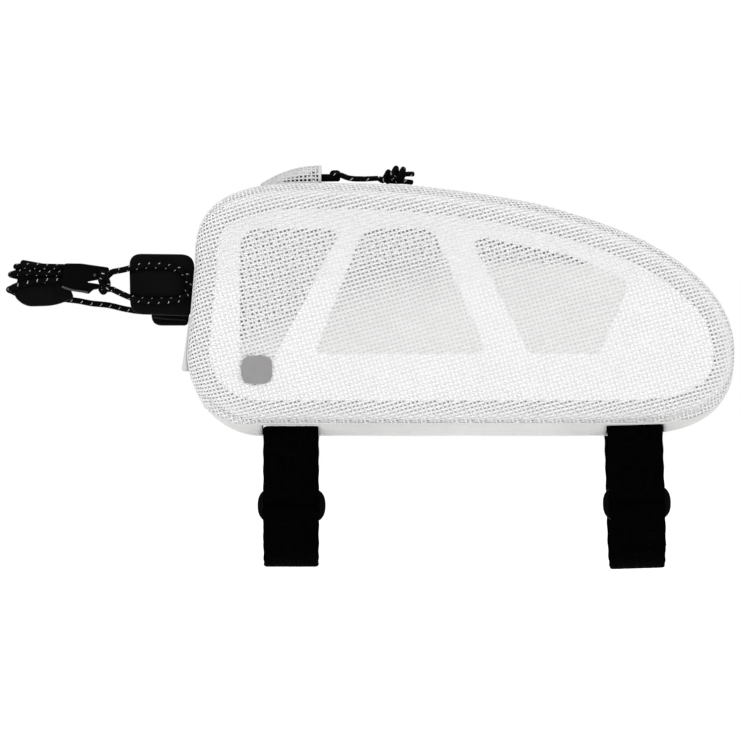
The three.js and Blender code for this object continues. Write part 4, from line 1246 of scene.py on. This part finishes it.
def strap_line(bottom):
    """The strap's middle line, y and z, from its sewn end to its free end."""
    upper = RING_TOP - RING["bar"]
    lower = RING_TOP - RING["height"] + RING["bar"]
    inside = RING_Y + RING_OFF
    outside = RING_Y - RING_OFF
    turn = (STRAP["turn"], STRAP["turn"])
    across = STRAP["leg"] - STRAP["turn"]
    run = STRAP["run"] - STRAP["turn"]
    bowl = ((STRAP["leg"] - inside) / 2, STRAP["leg_bottom"] - bottom)
    return np.concatenate([
        [(inside, STRAP_TAIL["sewn"])],
        arc_points((RING_Y, upper), (RING_OFF, RING_LOOP), 0, -180, 12),
        [(outside, RING_TOP)],
        arc_points((-across, run), turn, 180, 90, 8),
        arc_points((across, run), turn, 90, 0, 8),
        arc_points(((STRAP["leg"] + inside) / 2, STRAP["leg_bottom"]), bowl, 0, -180, 30),
        [(inside, lower - RING["bar"])],
        arc_points((RING_Y, lower), (RING_OFF, RING_LOOP), 0, 180, 12),
        [(outside, lower - RING["bar"]), (outside + STRAP_TAIL["lean"], STRAP_TAIL["end"])],
    ])


def placed_on(strap, points):
    tilt = math.radians(strap["tilt"])
    x, y, z = points.T
    turned_x = x * math.cos(tilt) - z * math.sin(tilt)
    turned_z = x * math.sin(tilt) + z * math.cos(tilt)
    return np.column_stack([turned_x + strap["x"], y, turned_z + strap["lift"]])


def strap_band(strap, random):
    """A strap with soft selvedges and the pile of its loops on both faces."""
    line = resampled(strap_line(strap["bottom"]), WEBBING["step"])
    along = unit(np.gradient(line, axis=0))
    out = np.column_stack([-along[:, 1], along[:, 0]])
    half = STRAP["width"] / 2
    flat = np.linspace(-1, 1, WEBBING["columns"])
    width = half * np.sign(flat) * (1 - (1 - np.abs(flat)) ** WEBBING["crowd"])
    wall = STRAP["wall"] / 2 * np.sqrt(1 - np.abs(width / half) ** WEBBING["square"])
    ring_x = np.concatenate([width, width[-2:0:-1]])
    ring_out = np.concatenate([wall, -wall[-2:0:-1]])
    pile = random.normal(0, WEBBING["pile"], (len(line), len(ring_x)))
    depth = ring_out[None] + pile * (np.abs(ring_out) > WEBBING["pile_from"])
    wave = WAVY_EDGE["depth"] * np.sin(np.arange(len(line)) * WAVY_EDGE["turn"])[:, None]
    x = ring_x[None] + wave * (ring_x / half) ** WAVY_EDGE["power"]
    y = line[:, :1] + out[:, :1] * depth
    z = line[:, 1:] + out[:, 1:] * depth
    points, blocks = ring_tube(point_grid(x, y, z))
    return placed_on(strap, points), [block[:, ::-1] for block in blocks]


def ring_plate(strap):
    half = RING["width"] / 2
    low = RING_TOP - RING["height"]
    hole_half = half - RING["end"]
    hole_ends = (-hole_half, low + RING["bar"]), (hole_half, RING_TOP - RING["bar"])
    hole = rounded_box(*hole_ends, RING["hole_radius"])
    outline = rounded_box((-half, low), (half, RING_TOP), RING["radius"])
    points, blocks = upright(plate(outline, RING["wall"] / 2, **PLATES["ring"], holes=[hole]), RING_Y)
    return placed_on(strap, points + [strap["ring_x"], 0, 0]), blocks


def add_straps():
    random = np.random.default_rng(SEED)
    for strap in STRAPS:
        name = strap["name"]
        add_piece(f"strap_band_{name}", strap_band(strap, random), "webbing", f"strap_{name}")
        add_piece(f"ring_{name}", ring_plate(strap), "plastic", f"strap_ring_{name}")


# Front tabs, flap, elastic cord and hook


def far_relief(flat):
    """The far tab's thicker lower rim."""
    return FAR_RIM["height"] * np.clip((FAR_RIM["z"] - flat[:, 1]) / FAR_RIM["blend"], 0, 1)


def pad_relief(flat):
    """Upright ribs on the pad's lower half."""
    x, z = flat.T
    from_sides = np.minimum.reduce([x - RIBS["from"], RIBS["to"] - x, z - RIBS["low"], RIBS["high"] - z])
    ribs = np.sin(math.pi * (x - RIBS["from"]) / RIBS["pitch"]) ** 2
    return RIBS["depth"] * np.clip(from_sides, 0, 1) * ribs


def near_relief(flat):
    """The near tab's raised middle, inside the U that the cord follows."""
    x, z = flat.T
    from_sides = np.minimum.reduce([NEAR_RAISED["high"] - z, z - NEAR_RAISED["low"], NEAR_RAISED["back"] - x])
    return NEAR_RAISED["height"] * np.clip(from_sides / NEAR_RAISED["height"], 0, 1) ** 0.5


def add_tabs():
    near = plate(rounded_outline(TAB_NEAR), TAB_HALF, **PLATES["tab_near"], relief=near_relief)
    add_piece("tab_near", upright(near, -TAB_Y), "rubber", "front_tab_near")
    far = plate(rounded_outline(TAB_FAR), TAB_HALF, **PLATES["tab_far"], relief=far_relief)
    add_piece("tab_far", upright(far, TAB_Y), "rubber", "front_tab_far")
    # The bead's lighter grey is a painted highlight on the far tab's rim
    add_piece("tab_bead", bead(**TAB_BEAD), "sheen")


def add_flap():
    """The padded flap under the tabs: a front and a back face with sewn cheeks between them."""
    top, hem_top, hem_end = FLAP["z"][0], FLAP["z"][3], FLAP["z"][4]
    z = np.concatenate([np.linspace(top, hem_top, 16), [FLAP["hem"], hem_end]])
    y = np.linspace(-FLAP["half"], FLAP["half"], 25)
    front, back = (np.interp(-z, np.negative(FLAP["z"]), FLAP[face]) for face in ("front", "back"))
    share = (top - z) / (top - hem_end)
    bow = FLAP_BOW["middle"] * np.sin(math.pi * share)[:, None] * np.cos(y / FLAP_BOW["width"])
    bow = bow + FLAP_BOW["low"] * share[:, None] * np.sin(y / FLAP_BOW["wave"])
    faces = [point_grid(x, y, z[:, None]) for x in (front[:, None] - bow, back[:, None])]
    flap = add_piece("front_flap_sheet", thick_sheet(*faces), "flap", "front_flap")


def far_route():
    route = list(FAR_LEAD)
    for turn in TURNS:
        heights = np.linspace(turn["from"], turn["to"], len(TURN_ANGLES))
        for angle, z in zip(TURN_ANGLES, heights):
            out = TURN_RADIUS * math.cos(math.radians(angle))
            across = -turn["side"] * TURN_RADIUS * math.sin(math.radians(angle))
            route.append((turn["x"] + turn["side"] * out, across, z))
        route.append((PAD_MIDDLE, turn["side"] * TURN_RADIUS, turn["run"]))
    return route + [FAR_END]


def knot_point(radius, angle, z):
    turn = math.radians(KNOT["start"] + angle)
    return (KNOT["x"] + radius * math.cos(turn), KNOT["y"] + radius * math.sin(turn), z)


def knot_route():
    """The hitch at the hook: strands laid round each other, between the near cord's two ends."""
    high, low = KNOT["high"], KNOT["low"]
    apart = 360 / KNOT_STRANDS
    route = [NEAR_ROUTE[0]]
    for strand in range(KNOT_STRANDS):
        goes_down = strand % 2 == 0
        heights = np.linspace(high, low, 5)
        for z in heights if goes_down else heights[::-1]:
            twist = KNOT["twist"] * (high - z) / (high - low)
            route.append(knot_point(KNOT["radius"], apart * strand + twist, z))
        if strand < KNOT_STRANDS - 1:
            twist = KNOT["twist"] if goes_down else 0
            end = low - KNOT_BEND["reach"] if goes_down else high + KNOT_BEND["reach"]
            route.append(knot_point(KNOT_BEND["radius"], apart * (strand + 0.5) + twist, end))
    return route + [NEAR_ROUTE[-1]]


def add_bungee():
    hitch = smooth_path(knot_route(), BRAID["step"])
    knot = add_cord("bungee_hitch", [hitch], CORD_RADIUS, BUNGEE_TURN, "bungee_knot")
    path = smooth_path(NEAR_ROUTE, BRAID["step"])
    near = add_cord("bungee_near_run", [path], CORD_RADIUS, BUNGEE_TURN, "bungee_near")
    far_path = smooth_path(far_route(), BRAID["step"])
    far = add_cord("bungee_far_run", [far_path], CORD_RADIUS, BUNGEE_TURN, "bungee_far", CORD_TIP)


def add_hook():
    pad = plate(rounded_outline(PAD), PAD_HALF, **PLATES["pad"], relief=pad_relief)
    add_piece("wound_pad", upright(pad, 0), "rubber", "hook_pad")
    body = plate(rounded_outline(HOOK), HOOK_HALF, **PLATES["hook"])
    add_piece("hook_body", upright(body, HOOK_Y), "plastic", "hook_plate")
    rivet = plate(circle(RIVET["at"], RIVET["radius"], 24), RIVET["half"], **PLATES["rivet"])
    # The lip's bead and the rivet are lighter grey than the plastic: painted highlight as well as gloss
    shine = joined([bead(**HOOK_LIP), upright(rivet, HOOK_Y - HOOK_HALF)])
    add_piece("hook_lip", shine, "gloss")


# Stage


def add_stage():
    reach = FLOOR["reach"]
    corners = ((-reach, -reach), (reach, -reach), (reach, reach), (-reach, reach))
    points = np.array([(x, y, FLOOR["z"]) for x, y in corners])
    mesh = bpy.data.meshes.new("floor")
    mesh.from_pydata((points * MM).tolist(), [], [(0, 1, 2, 3)])
    pale = bpy.data.materials.new("floor_pale")
    pale.use_nodes = True
    shader = pale.node_tree.nodes["Principled BSDF"]
    set_inputs(shader, Base_Color=FLOOR["colour"], Roughness=1.0, Specular_IOR_Level=0.0)
    set_inputs(shader, Emission_Color=WHITE, Emission_Strength=FLOOR["glow"])
    mesh.materials.append(pale)
    add_object("floor", mesh)


def add_light():
    world = bpy.data.worlds.new("studio")
    world.use_nodes = True
    set_inputs(world.node_tree.nodes["Background"], Color=WHITE, Strength=1.0)
    bpy.context.scene.world = world
    for row in SUNS:
        sun = bpy.data.lights.new(row["name"], "SUN")
        sun.energy = row["energy"]
        sun.angle = math.radians(SUN_SPREAD)
        lamp = add_object(row["name"], sun)
        lamp.rotation_euler = [math.radians(angle) for angle in row["turn"]]


def add_camera():
    data = bpy.data.cameras.new("camera")
    data.sensor_width = SENSOR
    data.lens = SENSOR * (VIEW["distance"] - HALF_SEAM) / VIEW["width"]
    data.clip_end = CLIP_END
    camera = add_object("camera", data)
    camera.location = Vector((VIEW["x"], -VIEW["distance"], VIEW["z"])) * MM
    camera.rotation_euler = (math.radians(90), 0, 0)
    bpy.context.scene.camera = camera
    bpy.context.scene.view_settings.view_transform = "Standard"


def build():
    add_camera()
    add_bungee()
    add_pull()
    add_hook()
    add_tabs()
    add_flap()
    add_sides()
    add_label()
    add_pocket()
    add_gusset()
    add_zip()
    add_slider()
    add_garage_shade_tab()
    add_garage()
    add_straps()
    add_stage()
    add_light()


build()
bpy.context.view_layer.update()
